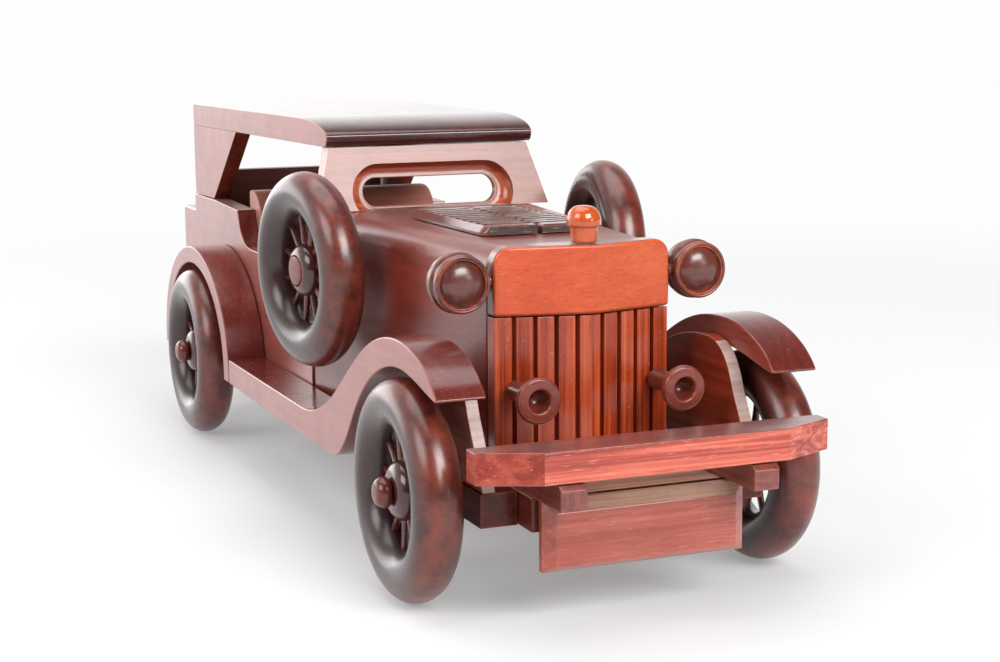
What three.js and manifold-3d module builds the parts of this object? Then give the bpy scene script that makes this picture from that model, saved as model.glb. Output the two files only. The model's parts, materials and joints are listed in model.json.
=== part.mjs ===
// Vintage touring car, a stained-wood display model with turning road wheels.
// Millimetres. The car faces -Y, +X is its left side and +Z is up.
// Inside the car group Y = 0 is the front axle, and Z = 0 is the ground.

import * as THREE from 'three';
import { mergeVertices } from 'three/addons/utils/BufferGeometryUtils.js';
import Module from 'manifold-3d';

const wasm = await Module();
wasm.setup();

// ---------------------------------------------------------------- driving dimensions

const GAP = 0.3;

const FRONT_WHEEL_RADIUS = 30;
const REAR_WHEEL_RADIUS = 30.8;
const TYRE_SECTION = 6.75;
const WHEEL_X = 52.2;
const REAR_AXLE_Y = 233.3;
const SPOKE_COUNT = 12;
const SPOKE_RADIUS = 1;
const HUB_RADIUS = 8.2;
const HUB_INNER_FACE = -5.5;
const HUB_OUTER_FACE = 4.8;
const PEG_RADIUS = 1.6;
const HUB_BORE_RADIUS = 1.67;
const BLOCK_BORE_RADIUS = 1.9;

const FRONT_Y = -51.4;
const REAR_Y = 314.6;

const CHASSIS_HALF_WIDTH = 30.5;
const CHASSIS_BOTTOM = 24.2;
const CHASSIS_TOP = 33.2;
const CHASSIS_FRONT_Y = -33.3;
const CHASSIS_REAR_Y = 300;
const AXLE_BLOCK_OUTER_X = 41;
const FRONT_AXLE_BLOCK_LENGTH = 49;
const REAR_AXLE_BLOCK_LENGTH = 34;

const RADIATOR_HALF_WIDTH = 26.2;
const RADIATOR_EDGE_Y = 1.84;
const RADIATOR_RIDGE_Y = -4.3;
const RADIATOR_BACK_Y = 7.2;
const SHELL_BOTTOM = 74;
const SHELL_TOP = 92.8;
const SHELL_CORNER_RADIUS = 5;
const GROOVES_PER_SIDE = 4;
const FIRST_GROOVE_X = 3.7;
const GROOVE_PITCH = 5.62;
const SLAT_GROOVE_WIDTH = 1.3;
const SLAT_GROOVE_DEPTH = 2.6;
const GRILLE_RECESS = 0.9;

const HOOD_FRONT_Y = 7.5;
const HOOD_REAR_Y = 124;
const HOOD_REAR_HALF_WIDTH = 40.4;
const HOOD_TOP = 92.2;
const HOOD_CORNER_RADIUS = 6.5;

const LOUVRE_FRONT_Y = 31;
const LOUVRE_REAR_Y = 88;
const LOUVRE_GROOVE_COUNT = 10;
const LOUVRE_GROOVE_WIDTH = 2;
const LOUVRE_BORDER = 2;
const LOUVRE_INNER_X = 0.8;
const LOUVRE_FRONT_X = 17.5;
const LOUVRE_REAR_X = 18.4;
const LOUVRE_BASE_HEIGHT = 0.9;
const LOUVRE_HEIGHT = 2.6;

const SCREEN_FRONT_Y = 115.8;
const SCREEN_THICKNESS = 6.5;
const SCREEN_RAKE = 0.29;
const SCREEN_BOTTOM_HALF_WIDTH = 39.8;
const SCREEN_TOP_HALF_WIDTH = 34.3;
const SCREEN_SLOT_Z = 97.7;
const SCREEN_SLOT_RADIUS = 4.5;
const SCREEN_SLOT_STRAIGHT = 18.4;
const SCREEN_COVE_SIZE = 4.2;
const SCREEN_COVE_DEPTH = 4.4;

const ROOF_FRONT_Y = 119.5;
const ROOF_REAR_Y = 281.3;
const ROOF_BOTTOM = 112.8;
const ROOF_TOP = 121.2;
const ROOF_FRONT_HALF_WIDTH = 35.5;
const ROOF_REAR_HALF_WIDTH = 40.6;
const ROOF_NOSE_LENGTH = 30;
const ROOF_NOSE_Z = 116;
const PILLAR_BOARD = 6;

const BODY_HALF_WIDTH = 40.7;
const BODY_BOARD = 6.6;
const BODY_REAR_Y = 282.6;
const BODY_TOP = 85.5;
const DOOR_SILL_Z = 72;
const SILL_BOTTOM = 27;
const FLOOR_TOP = 39;
const SEAT_BACK_TOP = 91.2;
const SEAT_BACK_REAR_Y = 224;
const SEAT_BACK_FRONT_Y = 207;
const REAR_PANEL_TOP = 95.4;
const TRUNK_HALF_WIDTH = 38;
const TRUNK_TOP = 78.2;

const FENDER_INNER_X = 41;
const FENDER_OUTER_X = 54.5;
const FENDER_CROWN_Z = 70.4;
const FENDER_UNDERSIDE_Z = 62.9;
const FENDER_TIP_Y = -29.4;
const FENDER_TIP_Z = 59.1;
const RUNNING_BOARD_TOP = 35.6;
const RUNNING_BOARD_BOTTOM = 27.1;
const RUNNING_BOARD_REAR_Y = 180.7;
const REAR_ARCH_Y = 231.5;
const REAR_ARCH_Z = 30;
const REAR_ARCH_OUTER_Y = 50.5;
const REAR_ARCH_OUTER_Z = 40.2;
const REAR_ARCH_INNER_Y = 43;
const REAR_ARCH_INNER_Z = 34;

const CHEEK_INNER_X = 37.1;
const CHEEK_OUTER_X = 40.7;
const CHEEK_TOP = 65.2;

const BUMPER_BOTTOM = 40.4;
const BUMPER_TOP = 48.7;
const BUMPER_FRONT_Y = -50;
const BUMPER_BACK_Y = -37.4;
const BUMPER_END_X = 49.8;
const BUMPER_BEND_X = 34.2;
const BUMPER_END_Y = -43.1;
const BRACKET_INNER_X = 23.3;

const PLATE_HALF_WIDTH = 28.8;
const PLATE_BOTTOM = 14;
const PLATE_TOP = 32.8;
const PLATE_BEVEL = 3.2;
const PLATE_FRONT_Y = -37.8;

const LAMP_X = 35.3;
const LAMP_Y = 0.8;
const LAMP_Z = 83.5;
const LAMP_RADIUS = 7.9;
const LAMP_RING_RADIUS = 8.3;
const HORN_X = 21.2;
const HORN_FRONT_Y = -17.5;
const HORN_Z = 54.3;
const HORN_RADIUS = 6.25;

const SPARE_X = 49.6;
const SPARE_Y = 94.2;
const SPARE_Z = 77.5;
const SPARE_TURN = 0.134;
const SPARE_DIP = 0.02;
const SPARE_PEG_LENGTH = 12.65;

// ---------------------------------------------------------------- stains

const STAIN = {
  ebony: { color: 0x2a1210, roughness: 0.25 },
  walnut: { color: 0x4a1f19, roughness: 0.32 },
  mahogany: { color: 0x7a2c20, roughness: 0.4 },
  rosewood: { color: 0x8a4038, roughness: 0.45 },
  cherry: { color: 0xb5452c, roughness: 0.4 },
  amber: { color: 0xc75420, roughness: 0.25 },
};

const car = new THREE.Group();
car.position.y = -(FRONT_Y + REAR_Y) / 2;

function addPart(name, geometry, stain, parent = car) {
  const material = new THREE.MeshStandardMaterial({ ...STAIN[stain], metalness: 0 });
  const mesh = new THREE.Mesh(geometry, material);
  mesh.name = name;
  parent.add(mesh);
  return mesh;
}

const SIDES = [
  { side: -1, suffix: 'right' },
  { side: 1, suffix: 'left' },
];

// ---------------------------------------------------------------- solids from outlines

const AXIS_X = new THREE.Vector3(1, 0, 0);
const AXIS_Y = new THREE.Vector3(0, 1, 0);
const AXIS_Z = new THREE.Vector3(0, 0, 1);

function outline(points) {
  return new THREE.Shape(points.map(([u, v]) => new THREE.Vector2(u, v)));
}

function extrude(shape, depth, curveSegments) {
  return new THREE.ExtrudeGeometry(shape, { depth, curveSegments, bevelEnabled: false });
}

// A (y, z) outline pushed along X from x0 to x1.
function prismX(shape, x0, x1, curveSegments = 8) {
  const geometry = extrude(shape, Math.abs(x1 - x0), curveSegments);
  geometry.applyMatrix4(new THREE.Matrix4().makeBasis(AXIS_Y, AXIS_Z, AXIS_X));
  return geometry.translate(Math.min(x0, x1), 0, 0);
}

// An (x, z) outline pushed along Y from y0 to y1.
function prismY(shape, y0, y1, curveSegments = 8) {
  const geometry = extrude(shape, y1 - y0, curveSegments);
  geometry.applyMatrix4(new THREE.Matrix4().makeBasis(AXIS_X, AXIS_Z, AXIS_Y.clone().negate()));
  return geometry.translate(0, y1, 0);
}

// An (x, y) outline pushed up from z0 to z1.
function prismZ(shape, z0, z1, curveSegments = 8) {
  return extrude(shape, z1 - z0, curveSegments).translate(0, 0, z0);
}

function block(x0, x1, y0, y1, z0, z1) {
  const geometry = new THREE.BoxGeometry(Math.abs(x1 - x0), y1 - y0, z1 - z0);
  return geometry.translate((x0 + x1) / 2, (y0 + y1) / 2, (z0 + z1) / 2);
}

// A turned piece: (radius, distance) pairs, spun about the X axis.
function turnedX(profile, segments) {
  const points = profile.map(([radius, along]) => new THREE.Vector2(radius, along));
  return new THREE.LatheGeometry(points, segments).rotateZ(-Math.PI / 2);
}

// The same about the Y axis, which is the lathe's own.
function turnedY(profile, segments) {
  return new THREE.LatheGeometry(
    profile.map(([radius, along]) => new THREE.Vector2(radius, along)),
    segments,
  );
}

// Moves every vertex out to its own side by an amount that grows along Y.
function flare(geometry, y0, slope) {
  const position = geometry.attributes.position;
  for (let i = 0; i < position.count; i += 1) {
    const shift = Math.sign(position.getX(i)) * slope * (position.getY(i) - y0);
    position.setX(i, position.getX(i) + shift);
  }
  return geometry;
}

// ---------------------------------------------------------------- joins and cuts

function toSolid(geometry) {
  const bare = geometry.clone();
  bare.deleteAttribute('normal');
  bare.deleteAttribute('uv');
  const merged = mergeVertices(bare, 1e-4);
  return new wasm.Manifold(new wasm.Mesh({
    numProp: 3,
    vertProperties: new Float32Array(merged.attributes.position.array),
    triVerts: new Uint32Array(merged.index.array),
  }));
}

function toGeometry(solid) {
  const mesh = solid.getMesh();
  const geometry = new THREE.BufferGeometry();
  geometry.setAttribute('position', new THREE.BufferAttribute(mesh.vertProperties, 3));
  geometry.setIndex(new THREE.BufferAttribute(mesh.triVerts, 1));
  geometry.computeVertexNormals();
  return geometry;
}

function join(...geometries) {
  return toGeometry(geometries.map(toSolid).reduce((whole, piece) => whole.add(piece)));
}

function cut(base, ...cutters) {
  return toGeometry(cutters.map(toSolid).reduce((rest, cutter) => rest.subtract(cutter), toSolid(base)));
}

function overlap(first, second) {
  return toGeometry(toSolid(first).intersect(toSolid(second)));
}

// ---------------------------------------------------------------- chassis

// A block glued to the side of the chassis, bored for an axle peg.
function axleBlock(side, y, z, length) {
  const shape = outline([
    [y - length / 2, CHASSIS_BOTTOM],
    [y + length / 2, CHASSIS_BOTTOM],
    [y + length / 2, CHASSIS_TOP],
    [y - length / 2, CHASSIS_TOP],
  ]);
  const bore = new THREE.Path();
  bore.absarc(y, z, BLOCK_BORE_RADIUS, 0, Math.PI * 2, true);
  shape.holes.push(bore);
  return prismX(shape, side * (CHASSIS_HALF_WIDTH + GAP), side * AXLE_BLOCK_OUTER_X, 10);
}

function addChassis() {
  addPart('chassis_board', block(
    -CHASSIS_HALF_WIDTH,
    CHASSIS_HALF_WIDTH,
    CHASSIS_FRONT_Y,
    CHASSIS_REAR_Y,
    CHASSIS_BOTTOM,
    CHASSIS_TOP,
  ), 'mahogany');
  for (const { side, suffix } of SIDES) {
    const front = axleBlock(side, 0, FRONT_WHEEL_RADIUS, FRONT_AXLE_BLOCK_LENGTH);
    const rear = axleBlock(side, REAR_AXLE_Y, REAR_WHEEL_RADIUS, REAR_AXLE_BLOCK_LENGTH);
    addPart(`front_axle_block_${suffix}`, front, 'walnut');
    addPart(`rear_axle_block_${suffix}`, rear, 'walnut');
  }
}

// ---------------------------------------------------------------- wheels

function tyreGeometry(wheelRadius) {
  return new THREE.TorusGeometry(wheelRadius - TYRE_SECTION, TYRE_SECTION, 12, 36).rotateY(Math.PI / 2);
}

// The turned hub with its spokes; the outer face looks along +X.
function hubGeometry(wheelRadius) {
  const drum = turnedX([
    [HUB_BORE_RADIUS, HUB_INNER_FACE],
    [6.5, HUB_INNER_FACE],
    [HUB_RADIUS, HUB_INNER_FACE + 2.5],
    [HUB_RADIUS, 1.4],
    [7.4, 3.2],
    [6, 4.3],
    [4, HUB_OUTER_FACE],
    [HUB_BORE_RADIUS, HUB_OUTER_FACE],
    [HUB_BORE_RADIUS, HUB_INNER_FACE],
  ], 20);
  const start = HUB_RADIUS - 1.5;
  const end = wheelRadius - 2 * TYRE_SECTION - GAP;
  const spokes = [];
  for (let i = 0; i < SPOKE_COUNT; i += 1) {
    const spoke = new THREE.CylinderGeometry(SPOKE_RADIUS, SPOKE_RADIUS, end - start, 6);
    spoke.translate(0, (start + end) / 2, 0);
    spokes.push(spoke.rotateX((i + 0.5) * Math.PI * 2 / SPOKE_COUNT));
  }
  return join(drum, ...spokes);
}

// The peg a wheel turns on: its head keeps the wheel on, its shank sits in the car.
function pegGeometry(innerEnd, headRadius, headLength) {
  const face = HUB_OUTER_FACE + 0.4;
  return turnedX([
    [0, innerEnd],
    [PEG_RADIUS, innerEnd],
    [PEG_RADIUS, face],
    [headRadius - 0.4, face],
    [headRadius, face + headLength * 0.25],
    [headRadius * 0.9, face + headLength * 0.65],
    [headRadius * 0.55, face + headLength * 0.93],
    [0, face + headLength],
  ], 24);
}

function wheelGroup(side, x, y, z) {
  const group = new THREE.Group();
  group.position.set(side * x, y, z);
  if (side < 0) group.rotation.z = Math.PI;
  car.add(group);
  return group;
}

function addWheels() {
  const axlePeg = pegGeometry(CHASSIS_HALF_WIDTH + 1 - WHEEL_X, 4.5, 4.2);
  const sparePeg = pegGeometry(-SPARE_PEG_LENGTH, 4.6, 0.6);
  const axles = [
    { place: 'front', y: 0, radius: FRONT_WHEEL_RADIUS },
    { place: 'rear', y: REAR_AXLE_Y, radius: REAR_WHEEL_RADIUS },
  ];
  for (const { side, suffix } of SIDES) {
    for (const { place, y, radius } of axles) {
      const group = wheelGroup(side, WHEEL_X, y, radius);
      addPart(`tyre_${place}_${suffix}`, tyreGeometry(radius), 'ebony', group);
      addPart(`hub_${place}_${suffix}`, hubGeometry(radius), 'walnut', group);
      addPart(`axle_peg_${place}_${suffix}`, axlePeg, 'walnut', group);
    }
    const spare = wheelGroup(side, SPARE_X, SPARE_Y, SPARE_Z);
    spare.rotation.order = 'ZYX';
    spare.rotation.y = SPARE_DIP;
    spare.rotation.z -= side * SPARE_TURN;
    addPart(`spare_tyre_${suffix}`, tyreGeometry(FRONT_WHEEL_RADIUS), 'ebony', spare);
    addPart(`spare_hub_${suffix}`, hubGeometry(FRONT_WHEEL_RADIUS), 'walnut', spare);
    addPart(`spare_peg_${suffix}`, sparePeg, 'mahogany', spare);
  }
}

// ---------------------------------------------------------------- radiator and hood

// The pointed front of the radiator in plan, moved back by an inset.
function prowY(x, inset) {
  const slope = (RADIATOR_EDGE_Y - RADIATOR_RIDGE_Y) / RADIATOR_HALF_WIDTH;
  return RADIATOR_RIDGE_Y + inset + slope * Math.abs(x);
}

function prowOutline(halfWidth, inset, backY) {
  return outline([
    [-halfWidth, backY],
    [-halfWidth, prowY(halfWidth, inset)],
    [0, prowY(0, inset)],
    [halfWidth, prowY(halfWidth, inset)],
    [halfWidth, backY],
  ]);
}

function grilleGeometry() {
  const board = prismZ(
    prowOutline(RADIATOR_HALF_WIDTH - 0.3, GRILLE_RECESS, RADIATOR_BACK_Y),
    CHASSIS_TOP + GAP,
    SHELL_BOTTOM - GAP,
  );
  const grooves = [];
  for (const { side } of SIDES) {
    for (let i = 0; i < GROOVES_PER_SIDE; i += 1) {
      const x = side * (FIRST_GROOVE_X + i * GROOVE_PITCH);
      const y = prowY(x, GRILLE_RECESS);
      grooves.push(block(
        x - SLAT_GROOVE_WIDTH / 2,
        x + SLAT_GROOVE_WIDTH / 2,
        y - 5,
        y + SLAT_GROOVE_DEPTH,
        CHASSIS_TOP - 1,
        SHELL_BOTTOM + 1,
      ));
    }
  }
  return cut(board, ...grooves);
}

function roundedTop(halfWidth, bottom, top, radius) {
  const shape = new THREE.Shape();
  shape.moveTo(-halfWidth, bottom);
  shape.lineTo(halfWidth, bottom);
  shape.lineTo(halfWidth, top - radius);
  shape.absarc(halfWidth - radius, top - radius, radius, 0, Math.PI / 2, false);
  shape.lineTo(radius - halfWidth, top);
  shape.absarc(radius - halfWidth, top - radius, radius, Math.PI / 2, Math.PI, false);
  return shape;
}

function addRadiator() {
  addPart('radiator_grille', grilleGeometry(), 'mahogany');
  addPart('radiator_shell', overlap(
    prismZ(prowOutline(RADIATOR_HALF_WIDTH, 0, RADIATOR_BACK_Y), SHELL_BOTTOM, SHELL_TOP),
    prismY(
      roundedTop(RADIATOR_HALF_WIDTH, SHELL_BOTTOM, SHELL_TOP, SHELL_CORNER_RADIUS),
      -10,
      10,
    ),
  ), 'cherry');
  const cap = turnedY([
    [0, 0],
    [3.6, 0],
    [3.9, 4.2],
    [4.5, 4.4],
    [4.75, 5.6],
    [4.3, 7.8],
    [2.7, 9.4],
    [0, 9.9],
  ], 24);
  cap.rotateX(Math.PI / 2);
  addPart('radiator_cap', cap, 'amber').position.set(0, 1.6, SHELL_TOP + GAP);
}

function hoodGeometry() {
  const section = roundedTop(RADIATOR_HALF_WIDTH - 0.3, CHASSIS_TOP + GAP, HOOD_TOP, HOOD_CORNER_RADIUS);
  const slope = (HOOD_REAR_HALF_WIDTH - RADIATOR_HALF_WIDTH) / (HOOD_REAR_Y - HOOD_FRONT_Y);
  return flare(prismY(section, HOOD_FRONT_Y, HOOD_REAR_Y, 6), HOOD_FRONT_Y, slope);
}

function louvreOuterX(y) {
  const along = (y - LOUVRE_FRONT_Y) / (LOUVRE_REAR_Y - LOUVRE_FRONT_Y);
  return LOUVRE_FRONT_X + along * (LOUVRE_REAR_X - LOUVRE_FRONT_X);
}

// One side's louvres: a plate with cross grooves, each open inboard and round at its outer end.
function louvreGeometry(side) {
  const bottom = HOOD_TOP + GAP;
  const top = bottom + LOUVRE_HEIGHT;
  const plate = prismZ(outline([
    [LOUVRE_INNER_X, LOUVRE_FRONT_Y],
    [LOUVRE_FRONT_X - 2, LOUVRE_FRONT_Y],
    [louvreOuterX(LOUVRE_FRONT_Y + 3), LOUVRE_FRONT_Y + 3],
    [LOUVRE_REAR_X, LOUVRE_REAR_Y],
    [LOUVRE_INNER_X, LOUVRE_REAR_Y],
  ]), bottom, top);
  const pitch = (LOUVRE_REAR_Y - LOUVRE_FRONT_Y) / (LOUVRE_GROOVE_COUNT + 1);
  const grooves = [];
  for (let i = 1; i <= LOUVRE_GROOVE_COUNT; i += 1) {
    const y = LOUVRE_FRONT_Y + i * pitch;
    const radius = LOUVRE_GROOVE_WIDTH / 2;
    const shape = new THREE.Shape();
    shape.moveTo(0, y - radius);
    shape.absarc(louvreOuterX(y) - LOUVRE_BORDER - radius, y, radius, -Math.PI / 2, Math.PI / 2, false);
    shape.lineTo(0, y + radius);
    grooves.push(prismZ(shape, bottom + LOUVRE_BASE_HEIGHT, top + 1, 5));
  }
  const panel = cut(plate, ...grooves);
  return side > 0 ? panel : panel.rotateZ(Math.PI).translate(0, LOUVRE_FRONT_Y + LOUVRE_REAR_Y, 0);
}

function addHood() {
  addPart('hood_block', hoodGeometry(), 'mahogany');
  for (const { side, suffix } of SIDES) {
    addPart(`louvre_panel_${suffix}`, louvreGeometry(side), 'walnut');
  }
}

// ---------------------------------------------------------------- lamps and horns

function lampGeometry(side) {
  const body = turnedY([
    [0, -1.3],
    [3.4, -0.9],
    [5.9, 0.3],
    [6.3, 1],
    [6.7, 0],
    [7.3, -0.4],
    [LAMP_RADIUS, 0.2],
    [LAMP_RADIUS, 1.6],
    [7.3, 2.4],
    [LAMP_RING_RADIUS, 3.5],
    [LAMP_RING_RADIUS, 5.4],
    [7.6, 7.6],
    [5.4, 10.2],
    [0, 11.6],
  ], 28);
  const reach = LAMP_X - RADIATOR_HALF_WIDTH - GAP;
  const peg = new THREE.CylinderGeometry(1.9, 1.9, reach, 12).rotateZ(Math.PI / 2);
  peg.translate(-side * reach / 2, 3.8, 0);
  return join(body, peg);
}

function hornGeometry(side) {
  const front = HORN_FRONT_Y;
  const trumpet = turnedY([
    [0, front + 5.4],
    [1.8, front + 4.2],
    [3, front + 0.6],
    [3.5, front],
    [5.5, front],
    [HORN_RADIUS, front + 0.6],
    [HORN_RADIUS, front + 2.4],
    [4.8, front + 3.6],
    [2.8, front + 5],
    [2.7, front + 9],
    [2.9, 5],
    [0, 5],
  ], 24);
  const grilleFront = prismZ(
    prowOutline(RADIATOR_HALF_WIDTH, GRILLE_RECESS - GAP, 12),
    HORN_Z - 10,
    HORN_Z + 10,
  );
  return cut(trumpet.translate(side * HORN_X, 0, HORN_Z), grilleFront);
}

function addLampsAndHorns() {
  for (const { side, suffix } of SIDES) {
    const lamp = addPart(`headlamp_${suffix}`, lampGeometry(side), 'walnut');
    lamp.position.set(side * LAMP_X, LAMP_Y, LAMP_Z);
    addPart(`horn_${suffix}`, hornGeometry(side), 'rosewood');
  }
}

// ---------------------------------------------------------------- windscreen, roof and pillars

function stadium(straight, radius, centreZ) {
  const shape = new THREE.Shape();
  shape.absarc(straight, centreZ, radius, -Math.PI / 2, Math.PI / 2, false);
  shape.absarc(-straight, centreZ, radius, Math.PI / 2, Math.PI * 1.5, false);
  return shape;
}

// The raked board, its see-through slot and the cove around the slot.
function windscreenGeometry() {
  const bottom = HOOD_TOP + GAP;
  const top = ROOF_BOTTOM - GAP;
  const board = prismY(outline([
    [-SCREEN_BOTTOM_HALF_WIDTH, bottom],
    [SCREEN_BOTTOM_HALF_WIDTH, bottom],
    [SCREEN_TOP_HALF_WIDTH, top],
    [-SCREEN_TOP_HALF_WIDTH, top],
  ]), 0, SCREEN_THICKNESS);
  const slot = prismY(stadium(SCREEN_SLOT_STRAIGHT, SCREEN_SLOT_RADIUS, SCREEN_SLOT_Z), -1, 10, 8);
  const cove = new THREE.ExtrudeGeometry(
    stadium(SCREEN_SLOT_STRAIGHT, SCREEN_SLOT_RADIUS + 0.8, SCREEN_SLOT_Z),
    {
      depth: 3,
      curveSegments: 8,
      bevelThickness: SCREEN_COVE_DEPTH,
      bevelSize: SCREEN_COVE_SIZE,
      bevelSegments: 5,
    },
  );
  cove.applyMatrix4(new THREE.Matrix4().makeBasis(AXIS_X, AXIS_Z, AXIS_Y.clone().negate()));
  const upright = cut(board, slot, cove);
  const rake = new THREE.Matrix4().makeShear(0, 0, 0, 0, 0, SCREEN_RAKE);
  upright.translate(0, 0, -bottom);
  upright.applyMatrix4(rake);
  return upright.translate(0, SCREEN_FRONT_Y, bottom);
}

const ROOF_TAPER = (ROOF_REAR_HALF_WIDTH - ROOF_FRONT_HALF_WIDTH) / (ROOF_REAR_Y - ROOF_FRONT_Y);

function roofGeometry() {
  const profile = new THREE.Shape();
  profile.moveTo(ROOF_REAR_Y, ROOF_BOTTOM);
  profile.lineTo(ROOF_REAR_Y, ROOF_TOP);
  profile.lineTo(ROOF_FRONT_Y + ROOF_NOSE_LENGTH, ROOF_TOP);
  profile.absellipse(
    ROOF_FRONT_Y + ROOF_NOSE_LENGTH,
    ROOF_NOSE_Z,
    ROOF_NOSE_LENGTH,
    ROOF_TOP - ROOF_NOSE_Z,
    Math.PI / 2,
    Math.PI,
    false,
    0,
  );
  profile.quadraticCurveTo(ROOF_FRONT_Y, ROOF_BOTTOM, ROOF_FRONT_Y + 3.2, ROOF_BOTTOM);
  const roof = prismX(profile, -ROOF_FRONT_HALF_WIDTH, ROOF_FRONT_HALF_WIDTH, 12);
  return flare(roof, ROOF_FRONT_Y, ROOF_TAPER);
}

// The quarter board under the rear of the roof: upright behind, raked in front.
function pillarGeometry(side) {
  const top = ROOF_BOTTOM - GAP;
  const bottom = BODY_TOP + GAP;
  const profile = outline([
    [-26.6, bottom],
    [-0.4, bottom],
    [0, bottom + 6],
    [0, top],
    [-58.9, top],
  ]);
  return prismX(profile, 0, -side * PILLAR_BOARD);
}

function addCabinTop() {
  addPart('windscreen_board', windscreenGeometry(), 'rosewood');
  addPart('roof_board', roofGeometry(), 'walnut');
  for (const { side, suffix } of SIDES) {
    const pillar = addPart(`roof_pillar_${suffix}`, pillarGeometry(side), 'rosewood');
    pillar.position.set(side * ROOF_REAR_HALF_WIDTH, ROOF_REAR_Y, 0);
    pillar.rotation.z = -side * Math.atan(ROOF_TAPER);
  }
}

// ---------------------------------------------------------------- body

// A side board: low at the door, rising in coves to the scuttle and to the rear quarter.
function bodySideGeometry(side) {
  const profile = new THREE.Shape();
  const frontY = HOOD_REAR_Y + GAP;
  const stepY = 196;
  profile.moveTo(frontY, SILL_BOTTOM);
  profile.lineTo(stepY, SILL_BOTTOM);
  profile.lineTo(stepY, CHASSIS_TOP + GAP);
  profile.lineTo(BODY_REAR_Y, CHASSIS_TOP + GAP);
  profile.lineTo(BODY_REAR_Y, BODY_TOP);
  profile.lineTo(250, BODY_TOP);
  profile.lineTo(216, BODY_TOP - 0.9);
  profile.quadraticCurveTo(212.6, DOOR_SILL_Z, 198, DOOR_SILL_Z);
  profile.lineTo(138, DOOR_SILL_Z);
  profile.quadraticCurveTo(128, DOOR_SILL_Z, frontY, BODY_TOP - 1);
  return prismX(profile, side * (BODY_HALF_WIDTH - BODY_BOARD), side * BODY_HALF_WIDTH, 7);
}

function addBody() {
  const innerX = BODY_HALF_WIDTH - BODY_BOARD - GAP;
  const floorBottom = CHASSIS_TOP + GAP;
  const seatBottom = FLOOR_TOP + GAP;
  for (const { side, suffix } of SIDES) {
    addPart(`body_side_${suffix}`, bodySideGeometry(side), 'rosewood');
  }
  addPart('floor_board', block(
    -innerX,
    innerX,
    HOOD_REAR_Y + GAP,
    BODY_REAR_Y,
    floorBottom,
    FLOOR_TOP,
  ), 'mahogany');

  const back = new THREE.Shape();
  back.moveTo(SEAT_BACK_REAR_Y, seatBottom);
  back.lineTo(SEAT_BACK_REAR_Y, SEAT_BACK_TOP);
  back.lineTo(SEAT_BACK_REAR_Y - 3, SEAT_BACK_TOP);
  back.quadraticCurveTo(SEAT_BACK_FRONT_Y + 1, SEAT_BACK_TOP, SEAT_BACK_FRONT_Y, 76);
  back.lineTo(SEAT_BACK_FRONT_Y, seatBottom);
  addPart('seat_back', prismX(back, -innerX, innerX), 'mahogany');

  const cushion = new THREE.Shape();
  cushion.moveTo(172, seatBottom);
  cushion.lineTo(SEAT_BACK_FRONT_Y - GAP, seatBottom);
  cushion.lineTo(SEAT_BACK_FRONT_Y - GAP, 58);
  cushion.lineTo(178, 58);
  cushion.absarc(178, 52, 6, Math.PI / 2, Math.PI, false);
  addPart('seat_cushion', prismX(cushion, -innerX, innerX, 5), 'mahogany');

  const panelX = innerX - 0.6;
  addPart('rear_panel', block(-panelX, panelX, 270, 276, seatBottom, REAR_PANEL_TOP), 'walnut');
  addPart('trunk_box', block(
    -TRUNK_HALF_WIDTH,
    TRUNK_HALF_WIDTH,
    BODY_REAR_Y + GAP,
    REAR_Y,
    CHASSIS_TOP + GAP,
    TRUNK_TOP,
  ), 'rosewood');
}

// ---------------------------------------------------------------- fenders and running boards

// Front fender and running board, sawn from one board as a single long S.
function frontFenderGeometry(side) {
  const profile = new THREE.Shape();
  profile.moveTo(FENDER_TIP_Y, FENDER_TIP_Z);
  profile.bezierCurveTo(-24, 66, -13, FENDER_CROWN_Z, 0, FENDER_CROWN_Z);
  profile.bezierCurveTo(39, FENDER_CROWN_Z, 52, RUNNING_BOARD_TOP, 92, RUNNING_BOARD_TOP);
  profile.lineTo(RUNNING_BOARD_REAR_Y, RUNNING_BOARD_TOP);
  profile.lineTo(RUNNING_BOARD_REAR_Y, RUNNING_BOARD_BOTTOM);
  profile.lineTo(60, RUNNING_BOARD_BOTTOM);
  profile.bezierCurveTo(52, RUNNING_BOARD_BOTTOM, 46, 33.6, 39.2, 41.8);
  profile.bezierCurveTo(27.8, 55.5, 13.2, FENDER_UNDERSIDE_Z, -2, FENDER_UNDERSIDE_Z);
  profile.bezierCurveTo(-11, FENDER_UNDERSIDE_Z, -20, 59.8, FENDER_TIP_Y + 0.8, FENDER_TIP_Z - 0.5);
  return prismX(profile, side * FENDER_INNER_X, side * FENDER_OUTER_X, 8);
}

function rearFenderGeometry(side) {
  const footZ = RUNNING_BOARD_BOTTOM;
  const profile = new THREE.Shape();
  profile.moveTo(REAR_ARCH_Y + REAR_ARCH_OUTER_Y, footZ);
  profile.absellipse(
    REAR_ARCH_Y,
    REAR_ARCH_Z,
    REAR_ARCH_OUTER_Y,
    REAR_ARCH_OUTER_Z,
    0,
    Math.PI,
    false,
    0,
  );
  profile.lineTo(REAR_ARCH_Y - REAR_ARCH_OUTER_Y, footZ);
  profile.lineTo(REAR_ARCH_Y - REAR_ARCH_INNER_Y, footZ);
  profile.absellipse(
    REAR_ARCH_Y,
    REAR_ARCH_Z,
    REAR_ARCH_INNER_Y,
    REAR_ARCH_INNER_Z,
    Math.PI,
    0,
    true,
    0,
  );
  profile.lineTo(REAR_ARCH_Y + REAR_ARCH_INNER_Y, footZ);
  return prismX(profile, side * FENDER_INNER_X, side * FENDER_OUTER_X, 20);
}

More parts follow.
